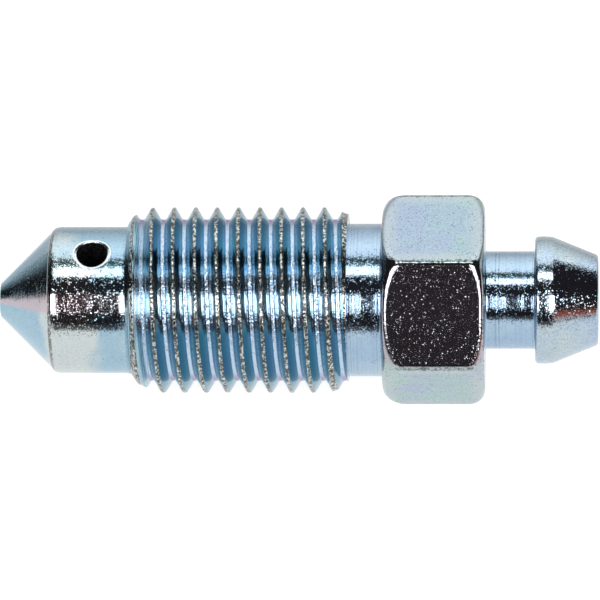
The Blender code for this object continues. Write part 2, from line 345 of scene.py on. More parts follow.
# %% The tree that winds the thread
def thread_tree(material):
    tree = bpy.data.node_groups.new("Rolled thread", "GeometryNodeTree")
    for name, value in THREAD_SIZES.items():
        kind = "NodeSocketInt" if isinstance(value, int) else "NodeSocketFloat"
        tree.interface.new_socket(name=name, in_out="INPUT", socket_type=kind)
    tree.interface.new_socket(name="Geometry", in_out="OUTPUT", socket_type="NodeSocketGeometry")
    size = tree.nodes.new("NodeGroupInput").outputs

    grid, row_step, turn, wound = helix_grid(tree, size)
    along = calc(tree, "MAXIMUM", calc(tree, "MINIMUM", wound, size["End"]), size["Start"])
    angle = calc(tree, "MULTIPLY", turn, 2 * math.pi)
    cosine = calc(tree, "COSINE", angle)
    sine = calc(tree, "SINE", angle)
    rolled, distance = rolled_section(tree, size, turn, along)
    blank = turned_blank(tree, size, along, cosine, sine)
    radius = calc(tree, "SMOOTH_MIN", rolled, blank, MEETING_SOFTNESS)
    radius = calc(tree, "SUBTRACT", radius, crest_wear(tree, size, along, cosine, sine, distance))
    radius = closed_ends(tree, size, row_step, wound, radius)

    across = calc(tree, "MULTIPLY", radius, cosine)
    up = calc(tree, "MULTIPLY_ADD", radius, sine, size["Axis Height"])
    point = add(tree, "ShaderNodeCombineXYZ", {"X": along, "Y": across, "Z": up}).outputs[0]
    wind = add(tree, "GeometryNodeSetPosition", {"Geometry": grid, "Position": point})
    weld = add(tree, "GeometryNodeMergeByDistance", {"Geometry": wind.outputs[0], "Distance": WELD})
    realise = add(tree, "GeometryNodeRealizeInstances", {"Geometry": weld.outputs[0]})
    finish = add(tree, "GeometryNodeSetMaterial", {"Geometry": realise.outputs[0], "Material": material})
    tree.links.new(finish.outputs[0], tree.nodes.new("NodeGroupOutput").inputs["Geometry"])
    return tree


# %% Grow the thread's mesh
def grown(name, tree, sizes):
    """The plain mesh that a tree of geometry nodes makes from these sizes."""
    seed = bpy.data.objects.new(name, bpy.data.meshes.new(name))
    bpy.context.scene.collection.objects.link(seed)
    modifier = seed.modifiers.new(name, "NODES")
    modifier.node_group = tree
    for socket in tree.interface.items_tree:
        if socket.item_type == "SOCKET" and socket.in_out == "INPUT":
            modifier[socket.identifier] = sizes[socket.name]
    evaluated = seed.evaluated_get(bpy.context.evaluated_depsgraph_get())
    mesh = bpy.data.meshes.new_from_object(evaluated)
    bpy.data.objects.remove(seed)
    return mesh


rolled_zinc = bpy.data.materials.new("zinc_on_rolled_thread")
thread_mesh = grown("rolled_thread", thread_tree(rolled_zinc), THREAD_SIZES)
print("The thread has", len(thread_mesh.polygons), "faces on", round(THREAD_LENGTH / PITCH, 1), "turns")

# %% [markdown]
# ## The turned parts
#
# Cone, pilot, neck, nipple, barb and bore were cut on a lathe, so each is an outline turned
# round the axis. A turned edge is never sharp. Each corner of the outline gets its own small
# arc, and each straight stretch a holding point close to either end, which keeps the shading
# of a long face from bending towards the arc beside it. A worn ring stands at the pilot's
# shoulder, the pilot's foot swells a little into the thread, and the barb's land is crowned.

# %% Outlines with soft corners
WIDE_ROUNDING = 0.4 * MM
LONGEST_REACH = 0.45


def arc(before, corner, after, radius, steps):
    """Points of the arc that rounds a corner of an outline."""
    to_before = Vector(before) - Vector(corner)
    to_after = Vector(after) - Vector(corner)
    longest = LONGEST_REACH * min(to_before.length, to_after.length)
    to_before.normalize()
    to_after.normalize()
    half = to_before.angle(to_after) / 2
    reach = min(radius / math.tan(half), longest)
    centre = Vector(corner) + (to_before + to_after).normalized() * (reach / math.cos(half))
    first = Vector(corner) + to_before * reach - centre
    last = Vector(corner) + to_after * reach - centre
    opening = first.angle(last)
    points = []
    for step in range(steps + 1):
        share = step / steps
        if opening < 1e-6:
            points.append(tuple(centre + first))
            continue
        mixed = first * math.sin((1 - share) * opening) + last * math.sin(share * opening)
        points.append(tuple(centre + mixed / math.sin(opening)))
    return points


def held(points):
    """The outline with a holding point near both ends of each long straight."""
    made = [points[0]]
    for start, end in zip(points, points[1:]):
        run = Vector(end) - Vector(start)
        if run.length > 5 * HOLD:
            unit = run.normalized() * HOLD
            if start[1] > 0:
                made.append(tuple(Vector(start) + unit))
            if end[1] > 0:
                made.append(tuple(Vector(end) - unit))
        made.append(end)
    return made


def outline(corners):
    """An outline from (station, radius, corner radius) rows."""
    places = [row[:2] for row in corners]
    points = []
    for index, (station, radius, rounding) in enumerate(corners):
        if rounding:
            steps = 8 if rounding > WIDE_ROUNDING else 5
            points += arc(places[index - 1], places[index], places[index + 1], rounding, steps)
        else:
            points.append((station, radius))
    return held(points)


def divided(points, start, end, pieces):
    """The outline with one of its straights cut into equal pieces."""
    made = []
    for point, following in zip(points, points[1:] + [points[-1]]):
        made.append(point)
        if point[0] >= start and following[0] <= end and following[0] - point[0] > 10 * HOLD:
            for piece in range(1, pieces):
                share = piece / pieces
                made.append(tuple(Vector(point).lerp(Vector(following), share)))
    return made


# %% The outlines of the screw
PILOT_PIECES = 14
SHOULDER_DROP = 0.05 * MM
SHOULDER_BACK = 0.065 * MM
SHOULDER_LENGTH = 0.2 * MM
RING_START = CONE_END - 0.27 * MM
RING_RUN = 0.03 * MM
RING_RISE = 0.022 * MM
FOOT_STEPS = 5
FOOT_LENGTH = 0.3 * MM
foot = []
for step in range(FOOT_STEPS + 1):
    share = step / FOOT_STEPS
    foot.append((THREAD_START - FOOT_LENGTH * (1 - share), PILOT_RADIUS + FOOT_RISE * share**2, 0))

front_outline = divided(
    outline(
        [
            (0, 0, 0),
            (0, TIP_RADIUS, 0.15 * MM),
            (RING_START, TIP_RADIUS + RING_START, 0.02 * MM),
            (RING_START + RING_RUN, TIP_RADIUS + RING_START + RING_RUN + RING_RISE, 0.03 * MM),
            (CONE_END - SHOULDER_BACK, PILOT_RADIUS - SHOULDER_DROP, 0.2 * MM),
            (CONE_END + SHOULDER_LENGTH, PILOT_RADIUS, 1.2 * MM),
            *foot,
        ]
    ),
    CONE_END,
    THREAD_START,
    PILOT_PIECES,
)
MOUTH_CHAMFER = 0.25 * MM
neck_outline = outline(
    [
        (THREAD_END, NECK_RADIUS, 0),
        (HEX_START, NECK_RADIUS, 0.12 * MM),
        (HEX_START, COLLAR_RADIUS - FRONT_ROUND[1], 0),
    ]
)
nipple_outline = outline(
    [
        (HEX_END, COLLAR_RADIUS - REAR_ROUND[1], 0),
        (HEX_END, NIPPLE_RADIUS, 0.14 * MM),
        (BARB_START, NIPPLE_RADIUS, 0.1 * MM),
        (BARB_START, BARB_RADIUS - BARB_CROWN, 0.22 * MM),
        (BARB_START + BARB_LAND / 2, BARB_RADIUS, 4.0 * MM),
        (BARB_START + BARB_LAND, BARB_RADIUS - BARB_CROWN, 1.0 * MM),
        (SCREW_LENGTH, BARB_END_RADIUS, 0.22 * MM),
        (SCREW_LENGTH, BORE_RADIUS + MOUTH_CHAMFER, 0.05 * MM),
        (SCREW_LENGTH - MOUTH_CHAMFER, BORE_RADIUS, 0.05 * MM),
        (BORE_FLOOR, BORE_RADIUS, 0.1 * MM),
        (BORE_FLOOR - DRILL_POINT, 0, 0),
    ]
)
counts = [len(points) for points in (front_outline, neck_outline, nipple_outline)]
print("Outline points in front, on the neck and behind:", counts)

# %% [markdown]
# ## The hexagon
#
# The bar comes drawn, with six flats and slightly rounded corners, and the lathe then rounds
# its two ends over. A box with bevels would give six equal corners, but here the rounding is
# turned: it takes much off a corner and almost nothing off the middle of a flat, which is what
# draws the bowed edge of each flat. So the hexagon is a set of strips along the axis, one for
# each column of points, and each strip follows the turned quarter ellipse up to its own flat.

# %% Columns round the bar
STEPS_A_CORNER = 8
STEPS_A_FLAT = COLUMNS // 6 - STEPS_A_CORNER
ELLIPSE_STEPS = 10
EDGE_STEPS = 5
FLAT_ROWS = 5


def bar_side():
    """Points of one side of the bar, from the middle of one corner to the next, as (out, across)."""
    out = HEX_HALF - HEX_CORNER_RADIUS
    half_width = out * math.tan(math.radians(30))
    half_steps = STEPS_A_CORNER // 2
    corner = []
    for step in range(half_steps + 1):
        turn = math.radians(30) * (1 - step / half_steps)
        across = -half_width - HEX_CORNER_RADIUS * math.sin(turn)
        corner.append((out + HEX_CORNER_RADIUS * math.cos(turn), across))
    inner_steps = STEPS_A_FLAT - 2
    flat = []
    for step in range(inner_steps + 1):
        flat.append((HEX_HALF, (half_width - HOLD) * (2 * step / inner_steps - 1)))
    mirrored = [(out_there, -across) for out_there, across in reversed(corner[1:])]
    return corner + flat + mirrored


bar_columns = []
for side in range(6):
    facing = math.radians(60 * side + 30)
    for out_there, across in bar_side():
        bar_columns.append((facing + math.atan2(across, out_there), math.hypot(out_there, across)))
print("The bar has", len(bar_columns), "columns, and the thread has", COLUMNS)


# %% Rows along the bar
STEEP_EDGE = 0.3


def rounded_end(reach, length, depth):
    """One strip from the end face up onto the bar, as (distance from the face, radius)."""
    face_radius = COLLAR_RADIUS - depth
    met = math.asin((reach - face_radius) / depth)
    slope = math.atan2(depth * math.cos(met), length * math.sin(met))
    softer = max(math.cos(slope) - STEEP_EDGE, 0)
    tangent = HEX_EDGE_RADIUS * math.tan(slope / 2) + HEX_EDGE_REACH * softer
    stop = math.asin((reach - tangent * math.sin(slope) - face_radius) / depth)
    points = []
    for step in range(ELLIPSE_STEPS):
        angle = stop * step / ELLIPSE_STEPS
        points.append((length * (1 - math.cos(angle)), face_radius + depth * math.sin(angle)))
    start = Vector((length * (1 - math.cos(stop)), face_radius + depth * math.sin(stop)))
    corner = Vector((length * (1 - math.cos(met)), reach))
    end = corner + Vector((tangent, 0))
    for step in range(EDGE_STEPS + 1):
        share = step / EDGE_STEPS
        points.append(tuple(start.lerp(corner, share).lerp(corner.lerp(end, share), share)))
    return points


def hexagon_rows():
    """Rows of points across all the strips, from the front face of the hexagon to its rear face."""
    strips = []
    for angle, reach in bar_columns:
        front = [(HEX_START + inward, out) for inward, out in rounded_end(reach, *FRONT_ROUND)]
        rear = [(HEX_END - inward, out) for inward, out in rounded_end(reach, *REAR_ROUND)][::-1]
        first = front[-1][0] + HOLD
        last = rear[0][0] - HOLD
        middle = [(first + (last - first) * row / FLAT_ROWS, reach) for row in range(FLAT_ROWS + 1)]
        strips.append([(station, radius, angle) for station, radius in front + middle + rear])
    return [list(row) for row in zip(*strips)]


def turned_rows(points):
    """Rows of points of an outline turned round the axis. A point on the axis is a pole."""
    rows = []
    for station, radius in points:
        if radius == 0:
            rows.append([(station, 0, 0)])
        else:
            rows.append([(station, radius, 2 * math.pi * column / COLUMNS) for column in range(COLUMNS)])
    return rows


# %% [markdown]
# ## One skin
#
# The rows are now joined by faces, and the thread's mesh is welded between the pilot and the
# neck, where its first and last points already lie on the rings of the turned parts. The
# result is one closed skin, as the real screw is one piece of metal.

# %% Join the rows and weld the thread in
def skin(shape, rows):
    """Faces between rows of (station, radius, angle) points."""
    made = []
    for row in rows:
        ring = []
        for station, radius, angle in row:
            height = AXIS_HEIGHT + radius * math.sin(angle)
            ring.append(shape.verts.new((at(station), radius * math.cos(angle), height)))
        made.append(ring)
    for ring, following in zip(made, made[1:]):
        for column in range(COLUMNS):
            beside = (column + 1) % COLUMNS
            if len(ring) == 1:
                shape.faces.new((ring[0], following[column], following[beside]))
            elif len(following) == 1:
                shape.faces.new((ring[column], following[0], ring[beside]))
            else:
                shape.faces.new((ring[column], following[column], following[beside], ring[beside]))


shape = bmesh.new()
shape.from_mesh(thread_mesh)
skin(shape, turned_rows(front_outline))
skin(shape, turned_rows(neck_outline)[:-1] + hexagon_rows() + turned_rows(nipple_outline)[1:])
bmesh.ops.remove_doubles(shape, verts=shape.verts, dist=WELD)
bmesh.ops.recalc_face_normals(shape, faces=shape.faces)
open_edges = sum(len(edge.link_faces) != 2 for edge in shape.edges)
mesh = bpy.data.meshes.new("bleeder_screw_skin")
shape.to_mesh(mesh)
shape.free()
screw = bpy.data.objects.new("bleeder_screw_skin", mesh)
bpy.context.scene.collection.objects.link(screw)
print("The skin has", len(mesh.polygons), "faces and", open_edges, "open edges")

# %% [markdown]
# ## The cross hole
#
# A small drill opens the pilot's side into the bore, and a brush breaks the edge that it
# leaves. That edge runs over a round pilot, so it rises and falls like a saddle. The cutter
# here has the drill's wall and then a flare that starts at the same depth under the surface
# all round, so that the broken edge is as wide at the sides as it is along the screw.

# %% Drill the cross hole
RIM_STEPS = 6
RIM_TURN = (math.radians(50), math.radians(80))
RIM_SINK = 0.95
RIM_OVERRUN = 0.3 * MM
DRILL_OVERRUN = 0.5 * MM
DRILL_COLUMNS = 72


def pilot_height(across):
    """How far the pilot's surface lies from the axis of the screw, beside the hole's own axis."""
    return math.sqrt(PILOT_RADIUS**2 - across**2)


def cross_drill_point(row, turn):
    """A point of the cutter, as (along the screw, across it, out from its axis)."""
    if row < 0:
        return (CROSS_HOLE_RADIUS * math.cos(turn), CROSS_HOLE_RADIUS * math.sin(turn), 0)
    opened = RIM_TURN[0] + (RIM_TURN[1] - RIM_TURN[0]) * min(row, RIM_STEPS) / RIM_STEPS
    radius = CROSS_HOLE_RADIUS + CROSS_HOLE_RIM * (math.cos(RIM_TURN[0]) - math.cos(opened))
    sunk = CROSS_HOLE_RIM * (RIM_SINK - math.sin(opened))
    height = pilot_height(radius * math.sin(turn)) - sunk
    if row > RIM_STEPS:
        radius += RIM_OVERRUN
        height += RIM_OVERRUN / math.tan(RIM_TURN[1])
    if row > RIM_STEPS + 1:
        height = PILOT_RADIUS + DRILL_OVERRUN
    return (radius * math.cos(turn), radius * math.sin(turn), height)


def cross_drill():
    shape = bmesh.new()
    rings = []
    for row in range(-1, RIM_STEPS + 3):
        ring = []
        for column in range(DRILL_COLUMNS):
            along, across, out = cross_drill_point(row, 2 * math.pi * column / DRILL_COLUMNS)
            y = out * math.cos(CROSS_HOLE_CLOCK) - across * math.sin(CROSS_HOLE_CLOCK)
            z = out * math.sin(CROSS_HOLE_CLOCK) + across * math.cos(CROSS_HOLE_CLOCK)
            ring.append(shape.verts.new((at(CROSS_HOLE_STATION) + along, y, AXIS_HEIGHT + z)))
        rings.append(ring)
    for ring, following in zip(rings, rings[1:]):
        for column in range(DRILL_COLUMNS):
            beside = (column + 1) % DRILL_COLUMNS
            shape.faces.new((ring[column], ring[beside], following[beside], following[column]))
    shape.faces.new(rings[0])
    shape.faces.new(rings[-1])
    bmesh.ops.recalc_face_normals(shape, faces=shape.faces)
    mesh = bpy.data.meshes.new("cross_drill")
    shape.to_mesh(mesh)
    shape.free()
    drill = bpy.data.objects.new("cross_drill", mesh)
    bpy.context.scene.collection.objects.link(drill)
    return drill


def cut(piece, cutter):
    """Takes the cutter out of the piece and keeps the result as a plain mesh."""
    boolean = piece.modifiers.new("cut", "BOOLEAN")
    boolean.operation = "DIFFERENCE"
    boolean.solver = "EXACT"
    boolean.object = cutter
    evaluated = piece.evaluated_get(bpy.context.evaluated_depsgraph_get())
    made = bpy.data.meshes.new_from_object(evaluated)
    piece.modifiers.remove(boolean)
    piece.data = made
    bpy.data.objects.remove(cutter)


faces_before = len(screw.data.polygons)
cut(screw, cross_drill())
print("Drilling changed the skin from", faces_before, "to", len(screw.data.polygons), "faces")

# %% [markdown]
# ## Effects that the finishes share
#
# Zinc plate follows what is under it, so the same few effects show on every surface, each in
# its own measure: a film whose colour drifts between two tints and is finely mottled, small
# dark pits, the rings that a turning tool leaves, creases in drawn metal, and crystals of zinc
# that lean each their own way and make dark reflections sparkle. A last one tells where a point
# lies round the screw. Each is a shader node group with named inputs, built once and placed in
# each material. All of them start from object coordinates, so they stay on the metal.

# %% A group with named sockets
SOCKET_KINDS = {"vector": "NodeSocketVector", "value": "NodeSocketFloat", "colour": "NodeSocketColor"}


def shader_group(name, inputs, outputs):
    """A new node group, with what its input node gives and what its output node takes."""
    tree = bpy.data.node_groups.new(name, "ShaderNodeTree")
    for in_out, sockets in (("INPUT", inputs), ("OUTPUT", outputs)):
        for socket, kind in sockets.items():
            tree.interface.new_socket(name=socket, in_out=in_out, socket_type=SOCKET_KINDS[kind])
    given = tree.nodes.new("NodeGroupInput").outputs
    result = tree.nodes.new("NodeGroupOutput").inputs
    return tree, given, result


def noise(tree, where, scale, detail=2.0, roughness=0.5):
    """The value of a noise texture."""
    measures = {"Vector": where, "Scale": scale, "Detail": detail, "Roughness": roughness}
    return add(tree, "ShaderNodeTexNoise", measures).outputs[0]


# %% Film
FILM_PATCHES = (0.38, 0.66)
MOTTLE_SCALE = 9.0 / MM
MOTTLE_SPOTS = (0.35, 0.7)
MOTTLE_COLOUR = (0.05, 0.06, 0.06, 1.0)
MOTTLE_DEPTH = 0.6


def film_group():
    """The colour of the passivation film, which drifts from one tint to another."""
    inputs = {"Vector": "vector", "Main": "colour", "Other": "colour"}
    inputs |= {"Patch Scale": "value", "Shift": "value", "Mottle": "value"}
    tree, given, result = shader_group("Passivation film", inputs, {"Color": "colour"})
    patches = noise(tree, given["Vector"], given["Patch Scale"], 3.0, 0.55)
    patches = calc(tree, "ADD", patches, given["Shift"])
    tint = blend(tree, ramp(tree, patches, *FILM_PATCHES), given["Main"], given["Other"])
    spots = ramp(tree, noise(tree, given["Vector"], MOTTLE_SCALE, 2.0, 0.6), *MOTTLE_SPOTS)
    spots = calc(tree, "MULTIPLY", spots, given["Mottle"])
    darker = blend(tree, MOTTLE_DEPTH, tint, MOTTLE_COLOUR)
    tree.links.new(blend(tree, spots, tint, darker), result["Color"])
    return tree


# %% Pits
SMALLEST_PIT = 0.4
PIT_CORE = 0.5


def pits_group():
    """Small pits scattered on a surface: a mask that is 1 in a pit."""
    inputs = {"Vector": "vector", "Scale": "value", "Size": "value", "Share": "value"}
    tree, given, result = shader_group("Pits", inputs, {"Mask": "value"})
    cells = add(tree, "ShaderNodeTexVoronoi", {"Vector": given["Vector"], "Scale": given["Scale"]})
    chance = add(tree, "ShaderNodeSeparateColor", {"Color": cells.outputs["Color"]})
    here = calc(tree, "LESS_THAN", chance.outputs[0], given["Share"])
    wobble = calc(tree, "MULTIPLY_ADD", chance.outputs[1], 1 - SMALLEST_PIT, SMALLEST_PIT)
    size = calc(tree, "MULTIPLY", given["Size"], wobble)
    core = calc(tree, "MULTIPLY", size, PIT_CORE)
    inside = ramp(tree, cells.outputs["Distance"], core, size, 1.0, 0.0)
    tree.links.new(calc(tree, "MULTIPLY", inside, here), result["Mask"])
    return tree


# %% Turning rings
RING_SWAY_SCALE = 0.5 / MM
FINE_RINGS = {"Scale": 1.0, "Detail": 3.0, "Roughness": 0.7}
SLOW_RINGS = {"Scale": 0.17, "Detail": 1.0}
RING_STRENGTH = (0.38, 0.62, 0.35, 1.0)


def rings_group():
    """Fine rings round the axis, as a turning tool leaves them, deeper in some stretches."""
    inputs = {"Vector": "vector", "Spacing": "value", "Waver": "value"}
    tree, given, result = shader_group("Turning rings", inputs, {"Height": "value"})
    sway = noise(tree, given["Vector"], RING_SWAY_SCALE, 2.0)
    along = parts_of(tree, given["Vector"])["X"]
    shifted = calc(tree, "MULTIPLY_ADD", sway, given["Waver"], along)
    turns = calc(tree, "DIVIDE", shifted, given["Spacing"])
    fine, slow = (
        add(tree, "ShaderNodeTexNoise", {"W": turns, **measures}, noise_dimensions="1D").outputs[0]
        for measures in (FINE_RINGS, SLOW_RINGS)
    )
    strength = ramp(tree, slow, *RING_STRENGTH)
    height = calc(tree, "MULTIPLY", calc(tree, "SUBTRACT", fine, 0.5), strength)
    tree.links.new(height, result["Height"])
    return tree


# %% Crystals
CRYSTAL_PATCH_SCALE = 0.12
CRYSTAL_PATCHES = (0.35, 0.65, 0.4, 1.7)
LEAST_LEAN = 0.2


def vector_calc(tree, operation, inputs):
    """The result of one Vector Math node."""
    return add(tree, "ShaderNodeVectorMath", inputs, operation=operation).outputs[0]


def crystals_group():
    """Crystals of the plate: each cell leans its own way, and a share of them leans far."""
    inputs = {"Vector": "vector", "Scale": "value", "Lean": "value", "Share": "value"}
    tree, given, result = shader_group("Plate crystals", inputs, {"Normal": "vector"})
    cells = add(tree, "ShaderNodeTexVoronoi", {"Vector": given["Vector"], "Scale": given["Scale"]})
    patch_scale = calc(tree, "MULTIPLY", given["Scale"], CRYSTAL_PATCH_SCALE)
    patches = noise(tree, given["Vector"], patch_scale, 2.0)
    chance = add(tree, "ShaderNodeTexWhiteNoise", {"Vector": cells.outputs["Position"]})
    wanted = calc(tree, "MULTIPLY", given["Share"], ramp(tree, patches, *CRYSTAL_PATCHES))
    far = calc(tree, "LESS_THAN", chance.outputs["Value"], wanted)
    share = calc(tree, "MULTIPLY_ADD", far, 1 - LEAST_LEAN, LEAST_LEAN)
    amount = calc(tree, "MULTIPLY", given["Lean"], share)
    tilt = vector_calc(tree, "SUBTRACT", {0: cells.outputs["Color"], 1: (0.5, 0.5, 0.5)})
    scaled = vector_calc(tree, "SCALE", {0: tilt, "Scale": amount})
    smooth_normal = tree.nodes.new("ShaderNodeNewGeometry").outputs["Normal"]
    leaning = vector_calc(tree, "ADD", {0: smooth_normal, 1: scaled})
    tree.links.new(vector_calc(tree, "NORMALIZE", {0: leaning}), result["Normal"])
    return tree


# %% Creases
CREASE_WIDTH = 0.05


def creases_group():
    """Short curved creases, as on drawn metal: 1 along the middle of a crease."""
    inputs = {"Vector": "vector", "Scale": "value"}
    tree, given, result = shader_group("Drawn creases", inputs, {"Height": "value"})
    folds = noise(tree, given["Vector"], given["Scale"], 2.5, 0.6)
    from_fold = calc(tree, "ABSOLUTE", calc(tree, "SUBTRACT", folds, 0.5))
    tree.links.new(ramp(tree, from_fold, 0.0, CREASE_WIDTH, 1.0, 0.0), result["Height"])
    return tree


# %% The place round the axis
def hypotenuse(tree, first, second):
    squared = calc(tree, "MULTIPLY_ADD", first, first, calc(tree, "MULTIPLY", second, second))
    return calc(tree, "SQRT", squared)


def round_group():
    """Where a point lies round the screw: its distance from the axis and its clock, 0 at the top."""
    inputs = {"Vector": "vector", "Axis Height": "value"}
    tree, given, result = shader_group("Round the axis", inputs, {"Radius": "value", "Clock": "value"})
    place = parts_of(tree, given["Vector"])
    up = calc(tree, "SUBTRACT", place["Z"], given["Axis Height"])
    tree.links.new(hypotenuse(tree, up, place["Y"]), result["Radius"])
    clock = calc(tree, "ARCTAN2", place["Y"], up)
    tree.links.new(calc(tree, "DIVIDE", clock, 2 * math.pi), result["Clock"])
    return tree


FILM, PITS, RINGS = film_group(), pits_group(), rings_group()
CRYSTALS, CREASES, ROUND = crystals_group(), creases_group(), round_group()
effects = (FILM, PITS, RINGS, CRYSTALS, CREASES, ROUND)
print("Shared effects:", ", ".join(group.name for group in effects))


# %% [markdown]
# ## Placing the effects
#
# A finish is a metal shader fed by a few of these effects. The helpers below start a material,
# place one effect each, lay one bump over another, and make the masks that tell where round or
# along the screw a tint belongs.

# %% Place an effect in a material
def start_material(material, roughness):
    """Turns a material to metal and returns its tree, its shader and the object coordinates."""
    material.use_nodes = True
    tree = material.node_tree
    shader = tree.nodes["Principled BSDF"]
    shader.inputs["Metallic"].default_value = 1.0
    shader.inputs["Roughness"].default_value = roughness
    where = tree.nodes.new("ShaderNodeTexCoord").outputs["Object"]
    return tree, shader, where


def place_group(tree, group, inputs):
    node = tree.nodes.new("ShaderNodeGroup")
    node.node_tree = group
    for name, value in inputs.items():
        feed(tree, node.inputs[name], value)
    return node.outputs


def input_of(outputs, name):
    """An input of the group node that these outputs belong to."""
    return outputs[0].node.inputs[name]


def film_on(tree, where, main, other, patch_scale, mottle):
    measures = {"Patch Scale": patch_scale, "Shift": 0.0, "Mottle": mottle}
    return place_group(tree, FILM, {"Vector": where, "Main": main, "Other": other, **measures})


def pits_on(tree, where, scale, size, share):
    measures = {"Vector": where, "Scale": scale, "Size": size, "Share": share}
    return place_group(tree, PITS, measures)["Mask"]


def rings_on(tree, where):
    measures = {"Vector": where, "Spacing": 0.13 * MM, "Waver": 0.02 * MM}
    return place_group(tree, RINGS, measures)["Height"]


def crystals_on(tree, where, scale, lean, share):
    measures = {"Vector": where, "Scale": scale, "Lean": lean, "Share": share}
    return place_group(tree, CRYSTALS, measures)


def round_axis(tree, where):
    """A point's distance from the axis, and its clock."""
    outputs = place_group(tree, ROUND, {"Vector": where, "Axis Height": AXIS_HEIGHT})
    return outputs["Radius"], outputs["Clock"]


# %% Bumps and masks
def bump(tree, height, distance, below=None):
    """A normal tilted by this height, over the normal of another bump."""
    node = add(tree, "ShaderNodeBump", {"Height": height, "Distance": distance})
    if below is not None:
        tree.links.new(below, node.inputs["Normal"])
    return node.outputs["Normal"]


def clock_gap(tree, clock, side):
    """How far round the screw a point lies from one side, in turns."""
    return calc(tree, "ABSOLUTE", calc(tree, "SUBTRACT", clock, side))


def between(tree, value, low, high, soft):
    """A mask that is 1 between two limits, with soft edges."""
    rise = ramp(tree, value, low - soft, low + soft)
    return calc(tree, "MULTIPLY", rise, ramp(tree, value, high - soft, high + soft, 1.0, 0.0))


# %% [markdown]
# ## Zinc on turned steel
#
# Pilot, necks and barb were turned and then barrel-plated. They mirror the studio in crisp
# bands, broken by turning rings and by crystals of zinc that lean a little out of the surface.
# A low roughness keeps the bands crisp. The crystals turn the normal of each small cell, so a
# dark band gets the salt and pepper of real plate while a pale one stays smooth. Three films
# differ in tint: blue and cream on the pilot, blue on the necks, and paler on the barb.

# %% The turned finish
PIT_COLOUR = (0.10, 0.12, 0.14, 1.0)
RING_LINES = (0.02, 0.12)
TURNED_ROUGHNESS = 0.1


def turned_finish(name, main, other, patch_scale, ring_height, lean, share, mottle, lines=0.0):
    """Returns the material and what a later touch needs: its tree, shader, place and colour."""
    material = bpy.data.materials.new(name)
    tree, shader, where = start_material(material, TURNED_ROUGHNESS)
    film = film_on(tree, where, main, other, patch_scale, mottle)
    rings = rings_on(tree, where)
    lined = calc(tree, "MULTIPLY", ramp(tree, rings, *RING_LINES), lines)
    colour = blend(tree, lined, film["Color"], PIT_COLOUR)
    pits = pits_on(tree, where, scale=5.5 / MM, size=0.26, share=0.3)
    colour = blend(tree, pits, colour, PIT_COLOUR)
    feed(tree, shader.inputs["Base Color"], colour)
    crystals = crystals_on(tree, where, 24.0 / MM, lean, share)
    feed(tree, shader.inputs["Normal"], bump(tree, rings, ring_height, crystals["Normal"]))
    return material, tree, shader, where, film, crystals, colour


pilot_zinc, *pilot_parts = turned_finish(
    "zinc_on_pilot",
    main=(0.36, 0.53, 0.64, 1.0),
    other=(0.60, 0.66, 0.66, 1.0),
    patch_scale=0.22 / MM,
    ring_height=0.006 * MM,
    lean=0.24,
    share=0.34,
    mottle=0.2,
)
neck_zinc, *_ = turned_finish(
    "zinc_on_necks",
    main=(0.37, 0.51, 0.66, 1.0),
    other=(0.44, 0.58, 0.70, 1.0),
    patch_scale=0.3 / MM,
    ring_height=0.017 * MM,
    lean=0.24,
    share=0.3,
    mottle=0.15,
    lines=0.2,
)
barb_zinc, *_ = turned_finish(
    "zinc_on_barb",
    main=(0.45, 0.56, 0.68, 1.0),
    other=(0.52, 0.62, 0.66, 1.0),
    patch_scale=0.3 / MM,
    ring_height=0.005 * MM,
    lean=0.28,
    share=0.3,
    mottle=0.35,
)
print("Turned finishes:", pilot_zinc.name, neck_zinc.name, barb_zinc.name)

# %% [markdown]
# ## Marks on the pilot
#
# The pilot carries more than the plain turned finish. Its film is creamy in the first half, and
# along the side towards the camera a reflection, pink towards the cone and grey towards the
# thread, is painted into its colour. Its shoulder is rubbed to bare metal in a narrow ring, and a
# brush has left the rim of the cross hole bright. Each mark is a mask made from the place on the
# screw, laid over the finish that is already there.

# %% The pilot's tints
# The clock of the side towards the camera. The pilot's pink and grey, and the thread's pale flanks and
# violet roots, are placed from it: a painted reflection, a painted highlight and a painted sheen, not a
# thinner film.
PAINTED_LIGHT_SIDE = -0.14
PILOT_PAINTED_LIGHT_SIDE = PAINTED_LIGHT_SIDE - 0.008
PILOT_PAINTED_REFLECTION_GAP = (0.014, 0.034, 0.8, 0.0)
PAINTED_PINK_REFLECTION = (0.56, 0.46, 0.49, 1.0)
PAINTED_GREY_REFLECTION = (0.60, 0.61, 0.63, 1.0)
PAINTED_PINK_STRETCH = (at(CONE_END + 2.6 * MM), at(CONE_END + 4.2 * MM), 1.0, 0.0)
CREAM_STRETCH = (at(CONE_END + 0.5 * MM), at(CONE_END + 3.2 * MM), 0.7 * MM)
CREAM_FADE = (6.5 * MM, 9.5 * MM, 1.0, 0.45)
CREAM_SHIFT = (0.34, -0.14)


def pilot_tints_and_painted_reflection(tree, where, place, film, colour):
    """Shifts the film to cream, and paints a pink and grey reflection over the side towards the camera.
    """
    drift = noise(tree, where, 0.5 / MM, 1.0)
    drifting = calc(tree, "MULTIPLY_ADD", drift, 1.6 * MM, place["X"])
    creamy = between(tree, drifting, *CREAM_STRETCH)
    creamy = calc(tree, "MULTIPLY", creamy, ramp(tree, place["Z"], *CREAM_FADE))
    feed(tree, input_of(film, "Shift"), calc(tree, "MULTIPLY_ADD", creamy, *CREAM_SHIFT))
    # a painted reflection: pink towards the cone, grey towards the thread
    painted_reflection = blend(tree, ramp(tree, drifting, *PAINTED_PINK_STRETCH), PAINTED_GREY_REFLECTION, PAINTED_PINK_REFLECTION)
    clock = round_axis(tree, where)[1]
    # the side towards the camera, where that reflection is painted
    thin = ramp(tree, clock_gap(tree, clock, PILOT_PAINTED_LIGHT_SIDE), *PILOT_PAINTED_REFLECTION_GAP)
    return blend(tree, thin, colour, painted_reflection)


